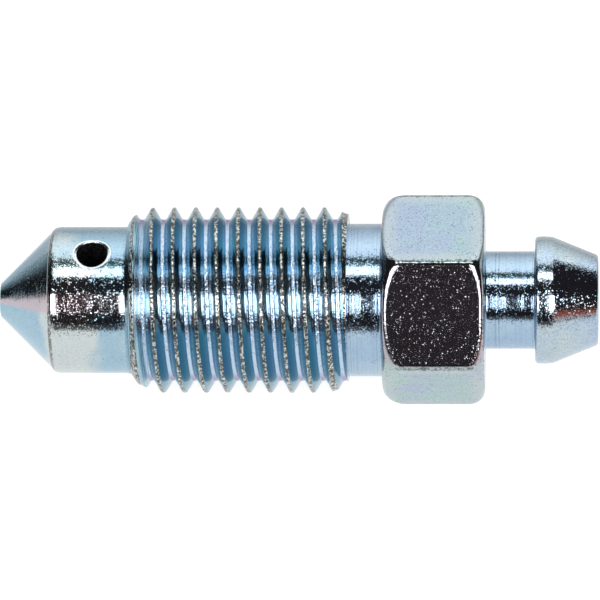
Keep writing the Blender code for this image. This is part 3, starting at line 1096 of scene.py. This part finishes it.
# %% The worn shoulder and the brushed rim
SPECKLE = (7.0 / MM, 3.0, 0.8)
WORN_DARK = (0.07, 0.07, 0.08, 1.0)
WORN_PALE = (0.50, 0.50, 0.46, 1.0)
WORN_STRETCH = (at(RING_START + 0.02 * MM), at(CONE_END - SHOULDER_BACK + 0.02 * MM), 0.02 * MM)
WORN_COVER = 0.85
RIM_FILM = (0.86, 0.93, 0.97, 1.0)
RIM_REACH = (CROSS_HOLE_RADIUS + 0.17 * MM, CROSS_HOLE_RADIUS + 0.21 * MM, 1.0, 0.0)
RIM_ROUGHNESS = 0.1
CONE_LEAN = (at(CONE_END - 0.3 * MM), at(CONE_END - 0.1 * MM), 0.11, 0.24)


def worn_shoulder(tree, where, place, colour):
    """A ragged ring of bare and dirty metal where the cone ends."""
    speckle = noise(tree, where, *SPECKLE)
    inward = calc(tree, "SUBTRACT", place["X"], 0.06 * MM)
    worn = between(tree, calc(tree, "MULTIPLY_ADD", speckle, 0.12 * MM, inward), *WORN_STRETCH)
    metal = blend(tree, ramp(tree, speckle, 0.42, 0.6), WORN_DARK, WORN_PALE)
    return blend(tree, calc(tree, "MULTIPLY", worn, WORN_COVER), colour, metal)


def hole_rim(tree, place):
    """1 on the brushed rim of the cross hole."""
    along = calc(tree, "SUBTRACT", place["X"], at(CROSS_HOLE_STATION))
    up = calc(tree, "SUBTRACT", place["Z"], AXIS_HEIGHT)
    leaned = calc(tree, "MULTIPLY", up, math.cos(CROSS_HOLE_CLOCK))
    across = calc(tree, "MULTIPLY_ADD", place["Y"], -math.sin(CROSS_HOLE_CLOCK), leaned)
    rim = ramp(tree, hypotenuse(tree, along, across), *RIM_REACH)
    return calc(tree, "MULTIPLY", rim, calc(tree, "GREATER_THAN", up, 0.0))


def touch_pilot(tree, shader, where, film, crystals, colour):
    """Lays the pilot's marks over its turned finish. The cone's crystals lean less."""
    place = parts_of(tree, where)
    colour = pilot_tints_and_painted_reflection(tree, where, place, film, colour)
    colour = worn_shoulder(tree, where, place, colour)
    feed(tree, input_of(crystals, "Lean"), ramp(tree, place["X"], *CONE_LEAN))
    rim = hole_rim(tree, place)
    feed(tree, shader.inputs["Base Color"], blend(tree, rim, colour, RIM_FILM))
    roughness = calc(tree, "MULTIPLY_ADD", rim, RIM_ROUGHNESS, TURNED_ROUGHNESS)
    feed(tree, shader.inputs["Roughness"], roughness)


touch_pilot(*pilot_parts)
# the clock of the side where the pilot's reflection is painted
print("The pilot's film is thin", round(-360 * PILOT_PAINTED_LIGHT_SIDE), "degrees round from the top")

# %% [markdown]
# ## Zinc on the rolled thread
#
# The dies leave burnished flanks, whose film is a deeper blue because light meets it two or
# three times inside the groove. The root is frosted. On the side towards the camera the flanks
# are painted pale, a painted highlight, and a painted violet sheen lies on the roots in two
# zones round the screw, where the camera sees them edge on. The crest was never pressed, so it
# stays rough and speckled, also where the blank tapers at the tail. Distance from the axis
# tells these zones apart. The first ridge was only turned, so it shows rings, and its edge is
# rubbed.

# %% Films of the thread
FLANK_FILM = (0.16, 0.33, 0.47, 1.0)
FLANK_TEAL = (0.13, 0.35, 0.44, 1.0)
FLANK_FOOT = (0.27, 0.44, 0.58, 1.0)
# painted highlight: the pale flanks on the side towards the camera
FLANK_PAINTED_HIGHLIGHT = (0.56, 0.68, 0.76, 1.0)
LEAD_FILM = (0.33, 0.51, 0.61, 1.0)
ROOT_FILM = (0.52, 0.65, 0.80, 1.0)
# painted sheen: the violet on the roots where the camera sees them edge on
ROOT_PAINTED_SHEEN = (0.36, 0.24, 0.52, 1.0)
NEAR_ROOT = (MINOR_RADIUS + 0.03 * MM, MINOR_RADIUS + 0.3 * MM, 0.6, 0.0)
FLANK_HIGHLIGHT_GAP = (0.032, 0.068, 0.85, 0.0)
SHEEN_FROM = (0.17, 0.22)
SHEEN_TO = (0.26, 0.32, 1.0, 0.0)


def rolled_film_and_painted_light(tree, where, radius, clock, in_root, on_lead):
    """The film's colour on lead, flank and root, with a painted highlight on the flanks towards the
    camera and a painted violet sheen on the roots seen edge on.
    """
    from_painted_light_side = clock_gap(tree, clock, PAINTED_LIGHT_SIDE)
    film = film_on(tree, where, FLANK_FILM, FLANK_TEAL, 0.5 / MM, 0.2)["Color"]
    flank = blend(tree, ramp(tree, radius, *NEAR_ROOT), film, FLANK_FOOT)
    flank = blend(tree, on_lead, flank, LEAD_FILM)
    # painted highlight on the flanks towards the camera
    flank = blend(tree, ramp(tree, from_painted_light_side, *FLANK_HIGHLIGHT_GAP), flank, FLANK_PAINTED_HIGHLIGHT)
    # painted violet sheen on the roots seen edge on
    violet = ramp(tree, from_painted_light_side, *SHEEN_FROM)
    violet = calc(tree, "MULTIPLY", violet, ramp(tree, from_painted_light_side, *SHEEN_TO))
    return blend(tree, in_root, flank, blend(tree, violet, ROOT_FILM, ROOT_PAINTED_SHEEN))


# %% Rough crest and rubbed edge
CREST_RAGGED = 0.10 * MM
CREST_WANDER = 0.12 * MM
CREST_RISE = (0.03 * MM, 0.055 * MM)
EDGE_BACK = 0.08 * MM
EDGE_RAGGED = 0.12 * MM
EDGE_WIDTH = (2.5 * MM, 8.5 * MM, 0.34 * MM, 0.14 * MM)


def rubbed_metal(tree, where, place, radius, speckle):
    """1 where the crest was never pressed, and on the rubbed edge of the lead."""
    wander = noise(tree, where, 1.1 / MM, 2.0)
    crest_line = calc(tree, "MULTIPLY_ADD", wander, CREST_WANDER, radius)
    crest_line = calc(tree, "MULTIPLY_ADD", speckle, CREST_RAGGED, crest_line)
    tail_height = MAJOR_RADIUS - TAIL_TAPER_HEIGHT + TAIL_SLOPE * at(THREAD_END)
    tail_line = calc(tree, "MULTIPLY_ADD", place["X"], -TAIL_SLOPE, tail_height)
    blank_radius = calc(tree, "MINIMUM", tail_line, MAJOR_RADIUS)
    on_crest = ramp(tree, calc(tree, "SUBTRACT", crest_line, blank_radius), *CREST_RISE)
    skew = -LEAD_SKEW_ACROSS / MAJOR_RADIUS
    edge_at = calc(tree, "MULTIPLY_ADD", place["Y"], skew, at(THREAD_START) + LEAD_STEP_LENGTH)
    edge_at = calc(tree, "ADD", edge_at, EDGE_BACK)
    past_edge = calc(tree, "ABSOLUTE", calc(tree, "SUBTRACT", place["X"], edge_at))
    ragged = calc(tree, "MULTIPLY_ADD", speckle, EDGE_RAGGED, past_edge)
    on_edge = calc(tree, "LESS_THAN", ragged, ramp(tree, place["Z"], *EDGE_WIDTH))
    return calc(tree, "MAXIMUM", on_crest, on_edge)


# %% The rolled finish
IN_ROOT = (MINOR_RADIUS + 0.008 * MM, MINOR_RADIUS + 0.028 * MM, 1.0, 0.0)
PAST_STEP = (at(THREAD_START) + 0.55 * MM, at(THREAD_START) + 0.65 * MM)
ON_LEAD = (at(THREAD_START) + 1.2 * MM, at(THREAD_START) + 1.4 * MM, 1.0, 0.0)
CREST_PALE = (0.66, 0.69, 0.65, 1.0)
CREST_DARK = (0.09, 0.095, 0.09, 1.0)
CREST_BLOTCHES = (0.76, 0.9)
ROOT_ROUGHNESS = (0.14, 0.11)
ROOT_LEAN = (0.5, 0.06)
RUBBED_ROUGHNESS = 0.04


def rolled_finish(material):
    tree, shader, where = start_material(material, 0.15)
    place = parts_of(tree, where)
    radius, clock = round_axis(tree, where)
    in_root = ramp(tree, radius, *IN_ROOT)
    in_root = calc(tree, "MULTIPLY", in_root, ramp(tree, place["X"], *PAST_STEP))
    on_lead = ramp(tree, place["X"], *ON_LEAD)
    speckle = noise(tree, where, *SPECKLE)
    rubbed = rubbed_metal(tree, where, place, radius, speckle)
    blotch = calc(tree, "MULTIPLY_ADD", noise(tree, where, 5.0 / MM, 2.0), 0.6, speckle)
    crest = blend(tree, ramp(tree, blotch, *CREST_BLOTCHES), CREST_DARK, CREST_PALE)
    film = rolled_film_and_painted_light(tree, where, radius, clock, in_root, on_lead)
    feed(tree, shader.inputs["Base Color"], blend(tree, rubbed, film, crest))
    roughness = calc(tree, "MULTIPLY_ADD", in_root, *ROOT_ROUGHNESS)
    roughness = calc(tree, "MULTIPLY_ADD", rubbed, RUBBED_ROUGHNESS, roughness)
    feed(tree, shader.inputs["Roughness"], roughness)
    lean = calc(tree, "MULTIPLY_ADD", in_root, *ROOT_LEAN)
    crystals = crystals_on(tree, where, 21.0 / MM, lean, 0.6)
    ringed = calc(tree, "MULTIPLY", rings_on(tree, where), on_lead)
    ringed = bump(tree, ringed, 0.16 * MM, crystals["Normal"])
    speckled = calc(tree, "MULTIPLY", speckle, rubbed)
    feed(tree, shader.inputs["Normal"], bump(tree, speckled, 0.02 * MM, ringed))


rolled_finish(rolled_zinc)
print("The root's film reaches", round((IN_ROOT[1] - MINOR_RADIUS) / MM, 3), "mm up the flanks")

# %% [markdown]
# ## Zinc on the drawn bar
#
# The flats are the bar's own skin, drawn through a die and then knocked about in the plating
# barrel. They carry many fine dark pits, faint creases, and crystals that speckle a dark
# reflection. The film is paler near a flat's border, its edges and corners have caught some
# grime, and a pinkish reflection is painted into the film of the flat towards the camera.

# %% The flat's film and its borders
BAR_MAIN = (0.40, 0.49, 0.62, 1.0)
BAR_OTHER = (0.40, 0.56, 0.55, 1.0)
BORDER_FILM = (0.50, 0.55, 0.55, 1.0)
BORDER_COVER = 0.55
BORDER_ALONG = (HEX_LENGTH / 2 - 1.3 * MM, HEX_LENGTH / 2 - 0.4 * MM)
BORDER_AROUND = (5.8 * MM, 6.12 * MM)
# painted reflection: the pinkish cast of the flat towards the camera
BAR_PAINTED_REFLECTION = (0.46, 0.43, 0.47, 1.0)
PAINTED_REFLECTION_FLAT = -1 / 6
PAINTED_REFLECTION_FLAT_GAP = (0.076, 0.084, 0.85, 0.0)
EDGE_GRIME = (0.09, 0.10, 0.09, 1.0)
GRIMY_EDGE = (HEX_LENGTH / 2 + 0.06 * MM, HEX_LENGTH / 2 + 0.12 * MM)
GRIMY_CORNER = (6.28 * MM, 6.33 * MM)
GRIME_SPOTS = (0.46, 0.6, 0.15, 0.9)


def bar_film(tree, where):
    """The colour of the flats: the film, paler at the border, with a painted pinkish reflection on the
    flat towards the camera, grimy at the edges.
    """
    radius, clock = round_axis(tree, where)
    from_middle = calc(tree, "SUBTRACT", parts_of(tree, where)["X"], at((HEX_START + HEX_END) / 2))
    from_middle = calc(tree, "ABSOLUTE", from_middle)
    film = film_on(tree, where, BAR_MAIN, BAR_OTHER, 0.3 / MM, 0.35)["Color"]
    border = ramp(tree, from_middle, *BORDER_ALONG)
    border = calc(tree, "MAXIMUM", border, ramp(tree, radius, *BORDER_AROUND))
    film = blend(tree, calc(tree, "MULTIPLY", border, BORDER_COVER), film, BORDER_FILM)
    # a painted pinkish reflection on the flat towards the camera
    film = blend(tree, ramp(tree, clock_gap(tree, clock, PAINTED_REFLECTION_FLAT), *PAINTED_REFLECTION_FLAT_GAP), film, BAR_PAINTED_REFLECTION)
    speckle = noise(tree, where, 6.0 / MM, 3.0, 0.8)
    edge = ramp(tree, calc(tree, "MULTIPLY_ADD", speckle, 0.3 * MM, from_middle), *GRIMY_EDGE)
    corner = ramp(tree, calc(tree, "MULTIPLY_ADD", speckle, 0.2 * MM, radius), *GRIMY_CORNER)
    grimy = calc(tree, "MAXIMUM", edge, corner)
    grimy = calc(tree, "MULTIPLY", grimy, ramp(tree, speckle, *GRIME_SPOTS))
    return blend(tree, grimy, film, EDGE_GRIME)


# %% The drawn finish
def drawn_finish():
    material = bpy.data.materials.new("zinc_on_drawn_bar")
    tree, shader, where = start_material(material, 0.12)
    pits = pits_on(tree, where, scale=8.0 / MM, size=0.42, share=0.45)
    feed(tree, shader.inputs["Base Color"], blend(tree, pits, bar_film(tree, where), PIT_COLOUR))
    crystals = crystals_on(tree, where, 26.0 / MM, 0.25, 0.09)
    creases = place_group(tree, CREASES, {"Vector": where, "Scale": 1.6 / MM})["Height"]
    feed(tree, shader.inputs["Normal"], bump(tree, creases, 0.002 * MM, crystals["Normal"]))
    return material


drawn_zinc = drawn_finish()
print("Drawn finish:", drawn_zinc.name)

# %% [markdown]
# ## The drilled holes
#
# Plating hardly reaches into a narrow hole, so the bore and the cross hole keep dull, spotted
# steel with a thin grey flash of zinc. It is rough, so it mirrors nothing of the studio. Its
# near black colour is partly that steel and partly painted shade of the deep holes.

# %% The drilled finish
# partly painted shade: the holes' steel is given a near black colour
DRILLED_DARK_AND_SHADE = (0.05, 0.05, 0.055, 1.0)
DRILLED_GREY_AND_SHADE = (0.2, 0.21, 0.22, 1.0)


def drilled_finish_with_shade():
    material = bpy.data.materials.new("dull_drilled_steel_and_painted_shade")
    tree, shader, where = start_material(material, 0.45)
    spots = noise(tree, where, 6.0 / MM, 3.0, 0.7)
    colour = blend(tree, ramp(tree, spots, 0.4, 0.65), DRILLED_DARK_AND_SHADE, DRILLED_GREY_AND_SHADE)
    feed(tree, shader.inputs["Base Color"], colour)
    feed(tree, shader.inputs["Normal"], bump(tree, spots, 0.01 * MM))
    return material


drilled_steel_and_shade = drilled_finish_with_shade()
print("Drilled finish:", drilled_steel_and_shade.name)

# %% [markdown]
# ## Give each face its finish
#
# The skin is one mesh with six materials. A face's distance along and from the axis says
# which tool made it.

# %% Find the finish of a face
HOLE_MARGIN = 0.01 * MM
BORE_MARGIN = 0.05 * MM
PILOT_WALL = 0.2 * MM


def finish_at(centre):
    """The finish at a face, from its station and its distance from the axis."""
    station = centre.x - cad_low.x
    radius = math.hypot(centre.y, centre.z - AXIS_HEIGHT)
    near_cross_hole = abs(station - CROSS_HOLE_STATION) < CROSS_HOLE_RADIUS + HOLE_MARGIN
    inside_pilot = near_cross_hole and radius < PILOT_RADIUS - PILOT_WALL
    if inside_pilot or radius < BORE_RADIUS + BORE_MARGIN and station > TIP_RADIUS:
        return drilled_steel_and_shade
    if station < THREAD_START + HOLD / 2:
        return pilot_zinc
    if station < THREAD_END - HOLD / 2:
        return rolled_zinc
    if HEX_START + HOLD / 2 < station < HEX_END - HOLD / 2:
        return drawn_zinc
    if station < BARB_START - HOLD / 2:
        return neck_zinc
    return barb_zinc


# %% Assign the finishes
SHARP_ANGLE = math.radians(32)
FINISHES = [pilot_zinc, rolled_zinc, neck_zinc, drawn_zinc, barb_zinc, drilled_steel_and_shade]
screw.data.materials.clear()
for material in FINISHES:
    screw.data.materials.append(material)
face_counts = dict.fromkeys([material.name for material in FINISHES], 0)
for face in screw.data.polygons:
    finish = finish_at(face.center)
    face.material_index = FINISHES.index(finish)
    face_counts[finish.name] += 1
screw.data.shade_smooth()
screw.data.set_sharp_from_angle(angle=SHARP_ANGLE)
print("Faces with each finish:", face_counts)

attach(screw, "root")
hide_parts("bleeder_screw")

# %% [markdown]
# ## Floor
#
# The screw lies on a plain white floor that keeps its shadow. Part of the floor's white is a
# glow that only the camera and reflections see, so the photograph's white background needs no
# extra light. Reflections see it dimmer at the back, as they do a floor that runs off into a
# darker room.

# %% The floor
WHITE = (1.0, 1.0, 1.0, 1.0)
FLOOR_PAINT = (0.9, 0.9, 0.9, 1.0)
FLOOR_HALF = 2.0
FLOOR_GLOW = 1.3
FLOOR_GLOW_SHARE = 0.7
FLOOR_MIRRORED = (0.004, 0.03, 1.15, 0.62)


def bare_material(name):
    """A new material, its tree and the socket that takes its surface."""
    material = bpy.data.materials.new(name)
    material.use_nodes = True
    tree = material.node_tree
    tree.nodes.clear()
    return material, tree, tree.nodes.new("ShaderNodeOutputMaterial").inputs["Surface"]


def floor_material():
    """White paint that keeps the screw's shadow, with a glow for the camera and the gloss."""
    material, tree, surface = bare_material("white_floor")
    ray = tree.nodes.new("ShaderNodeLightPath").outputs
    mirrored = calc(tree, "MAXIMUM", ray["Is Glossy Ray"], ray["Is Transmission Ray"])
    seen = calc(tree, "MAXIMUM", ray["Is Camera Ray"], mirrored)
    place = parts_of(tree, tree.nodes.new("ShaderNodeTexCoord").outputs["Object"])
    in_gloss = ramp(tree, place["Y"], *FLOOR_MIRRORED)
    glow_for = {"Factor": ray["Is Camera Ray"], "A": in_gloss, "B": FLOOR_GLOW}
    strength = add(tree, "ShaderNodeMix", glow_for).outputs["Result"]
    paint = add(tree, "ShaderNodeBsdfDiffuse", {"Color": FLOOR_PAINT})
    glow = add(tree, "ShaderNodeEmission", {"Color": WHITE, "Strength": strength})
    mixed = add(tree, "ShaderNodeMixShader", {"Fac": calc(tree, "MULTIPLY", seen, FLOOR_GLOW_SHARE)})
    tree.links.new(paint.outputs[0], mixed.inputs[1])
    tree.links.new(glow.outputs[0], mixed.inputs[2])
    tree.links.new(mixed.outputs[0], surface)
    return material


def put_up(name, mesh, material):
    """Makes a mesh a piece of the studio, which isn't part of the screw."""
    mesh.materials.append(material)
    made = bpy.data.objects.new(name, mesh)
    bpy.context.scene.collection.objects.link(made)
    return made


def sheet(name, low, high, height, material):
    """A flat rectangle over the floor, from one corner to the other."""
    mesh = bpy.data.meshes.new(name)
    (left, front), (right, back) = low, high
    places = [(left, front), (right, front), (right, back), (left, back)]
    mesh.from_pydata([(x, y, height) for x, y in places], [], [(0, 1, 2, 3)])
    return put_up(name, mesh, material)


sheet("floor", (-FLOOR_HALF, -FLOOR_HALF), (FLOOR_HALF, FLOOR_HALF), 0.0, floor_material())
print("The floor is", 2 * FLOOR_HALF, "m wide")

# %% [markdown]
# ## Light
#
# Bright metal shows its surroundings more than itself. A tent therefore stands over the screw,
# half a cylinder whose panels glow: a bright wall behind, a strip lamp overhead with a dark
# green gap behind it, and two strong lamps beside the camera with a dark middle between them.
# The gaps draw the dark bands that make round metal look round, and a small brown panel low on
# one side warms the barb. The tent lights the screw but is hidden from the camera. A black card
# in front of the screw dims only reflections, so the floor under it stays white.

# %% The panels of the tent
TENT_RADIUS = 0.5
TENT_HALF_LENGTH = 0.55
TENT_STEPS = 80
DARK = (0.022, 0.017, 0.019)

# Each panel is a part of the tent: from and to in degrees over the top, where 0 is the horizon on
# the camera's side and 180 the far one, from and to in degrees sideways, and its colours at either
# end of the first range. A later panel covers an earlier one.
TENT_PANELS = [
    ((150, 184), (-46, 46), (1.05, 1.08, 1.1), (0.45, 0.47, 0.48)),  # foot of the wall behind
    ((128, 150), (-46, 46), (1.45, 1.48, 1.5), (1.05, 1.08, 1.1)),  # wall behind
    ((107.2, 128), (-24, 24), (1.4, 1.43, 1.47), (1.48, 1.5, 1.52)),  # top of the wall
    ((97, 107.2), (-24, 24), (0.03, 0.07, 0.055), (0.03, 0.07, 0.055)),  # green gap
    ((91, 97), (-24, -1.5), (0.45, 0.56, 0.53), (0.12, 0.2, 0.18)),  # its paler end
    ((91, 97), (-1.5, 24), (0.03, 0.07, 0.055), (0.03, 0.07, 0.055)),
    ((78, 91), (-25, 25), (3.4, 3.4, 3.4), (3.0, 3.0, 3.0)),  # strip lamp overhead
    ((20, 47), (-36, -14), (5.6, 5.7, 5.8), (9.0, 9.1, 9.2)),  # lamp left of the camera
    ((20, 47), (11, 34), (5.6, 5.7, 5.8), (9.0, 9.1, 9.2)),  # lamp right of it
    ((24, 46), (-14, 11), (0.02, 0.015, 0.018), (0.09, 0.07, 0.08)),  # dark middle
    ((0, 15), (32, 48), (0.60, 0.13, 0.07), (0.45, 0.10, 0.06)),  # brown panel
]


def tent_colour(degrees, sideways):
    colour = DARK
    for (start, end), (left, right), first, last in TENT_PANELS:
        if start <= degrees <= end and left <= sideways <= right:
            share = (degrees - start) / (end - start)
            colour = tuple(a + (b - a) * share for a, b in zip(first, last))
    return colour


def tent_rows():
    """Half a cylinder over the screw, as rows of (place, colour) points."""
    rows = []
    for degrees in range(-1, 182):
        radians = math.radians(degrees)
        row = []
        for step in range(-TENT_STEPS, TENT_STEPS + 1):
            x = TENT_HALF_LENGTH * step / TENT_STEPS
            sideways = math.degrees(math.atan2(x, TENT_RADIUS))
            place = (x, -TENT_RADIUS * math.cos(radians), TENT_RADIUS * math.sin(radians))
            row.append((place, tent_colour(degrees, sideways)))
        rows.append(row)
    return rows


# %% The ends of the tent
END_STEPS = 12
END_DARK = 0.015
END_BRIGHT = (0.50, 0.56, 0.58)
END_FADE_FROM = 0.24
END_FADE_OVER = 0.3


def end_colour(y):
    """The ends are dark towards the camera, and brighter the further back."""
    share = min(max((y - END_FADE_FROM) / END_FADE_OVER, 0), 1)
    return tuple(END_DARK + part * share for part in END_BRIGHT)


def end_rows(x):
    """The flat wall that closes one end of the tent."""
    rows = []
    for up in range(END_STEPS + 1):
        ys = [TENT_RADIUS * (step / END_STEPS - 1) for step in range(2 * END_STEPS + 1)]
        rows.append([((x, y, TENT_RADIUS * up / END_STEPS), end_colour(y)) for y in ys])
    return rows


# %% Put up the tent and the card
CARD_LOW, CARD_HIGH, CARD_HEIGHT = (-0.12, -0.49), (0.12, -0.045), 0.0002
CARD_BLACK = (0.02, 0.02, 0.02, 1.0)


def glowing(name):
    """A material that glows by the colour stored on its mesh."""
    material, tree, surface = bare_material(name)
    colour = add(tree, "ShaderNodeAttribute", attribute_name="glow").outputs["Color"]
    tree.links.new(add(tree, "ShaderNodeEmission", {"Color": colour}).outputs[0], surface)
    return material


def wall(name, rows, material):
    """A glowing grid of (place, colour) points, hidden from the camera."""
    width = len(rows[0])
    faces = []
    for row in range(len(rows) - 1):
        for column in range(width - 1):
            corner = row * width + column
            faces.append((corner, corner + 1, corner + width + 1, corner + width))
    points = [point for row in rows for point in row]
    mesh = bpy.data.meshes.new(name)
    mesh.from_pydata([place for place, colour in points], [], faces)
    stored = mesh.attributes.new("glow", "FLOAT_COLOR", "POINT")
    stored.data.foreach_set("color", [part for place, colour in points for part in (*colour, 1.0)])
    put_up(name, mesh, material).visible_camera = False


tent_light = glowing("tent_light")
wall("light_tent", tent_rows(), tent_light)
wall("tent_left", end_rows(-TENT_HALF_LENGTH), tent_light)
wall("tent_right", end_rows(TENT_HALF_LENGTH), tent_light)

black_card = bpy.data.materials.new("black_card")
black_card.use_nodes = True
card_paint = black_card.node_tree.nodes["Principled BSDF"].inputs
card_paint["Base Color"].default_value = CARD_BLACK
card_paint["Roughness"].default_value = 0.9
front_card = sheet("front_card", CARD_LOW, CARD_HIGH, CARD_HEIGHT, black_card)
front_card.visible_camera = False
front_card.visible_diffuse = False
front_card.visible_shadow = False
print("The tent has", len(TENT_PANELS), "panels")

world = bpy.data.worlds.new("white_room")
world.use_nodes = True
sky = world.node_tree.nodes["Background"].inputs
sky["Color"].default_value = WHITE
sky["Strength"].default_value = 1.0
bpy.context.scene.world = world

# %% [markdown]
# ## The camera
#
# The photograph looks down on the screw from about 40 degrees, which the widths of the
# hexagon's two visible flats give, and from a little to the right, which shows in the slant of
# the thread's crests. The camera is rolled so that the axis lies level, and its lens follows
# from its distance and the width of the frame.

# %% Place the camera
CAMERA_ELEVATION = math.radians(39.6)
CAMERA_AZIMUTH = math.radians(3.5)
CAMERA_DISTANCE = 0.309
CAMERA_SHIFT = 0.056 * MM
FRAME_WIDTH = 35.49 * MM

camera_data = bpy.data.cameras.new("camera")
camera_data.sensor_width = 36.0
camera_data.lens = camera_data.sensor_width * CAMERA_DISTANCE / FRAME_WIDTH
camera_data.clip_start = 0.05
camera_data.clip_end = 10.0
camera = bpy.data.objects.new("camera", camera_data)
bpy.context.scene.collection.objects.link(camera)
along_floor = Vector((math.sin(CAMERA_AZIMUTH), -math.cos(CAMERA_AZIMUTH), 0))
away = along_floor * math.cos(CAMERA_ELEVATION) + Vector((0, 0, math.sin(CAMERA_ELEVATION)))
target = Vector(((cad_low.x + cad_high.x) / 2 + CAMERA_SHIFT, 0, AXIS_HEIGHT))
to_right = (Vector((1, 0, 0)) - away * away.x).normalized()
upward = away.cross(to_right)
camera.location = target + away * CAMERA_DISTANCE
camera.rotation_mode = "QUATERNION"
camera.rotation_quaternion = Matrix((to_right, upward, away)).transposed().to_quaternion()
bpy.context.scene.camera = camera
bpy.context.scene.view_settings.view_transform = "Standard"
print("The lens is", round(camera_data.lens), "mm long")
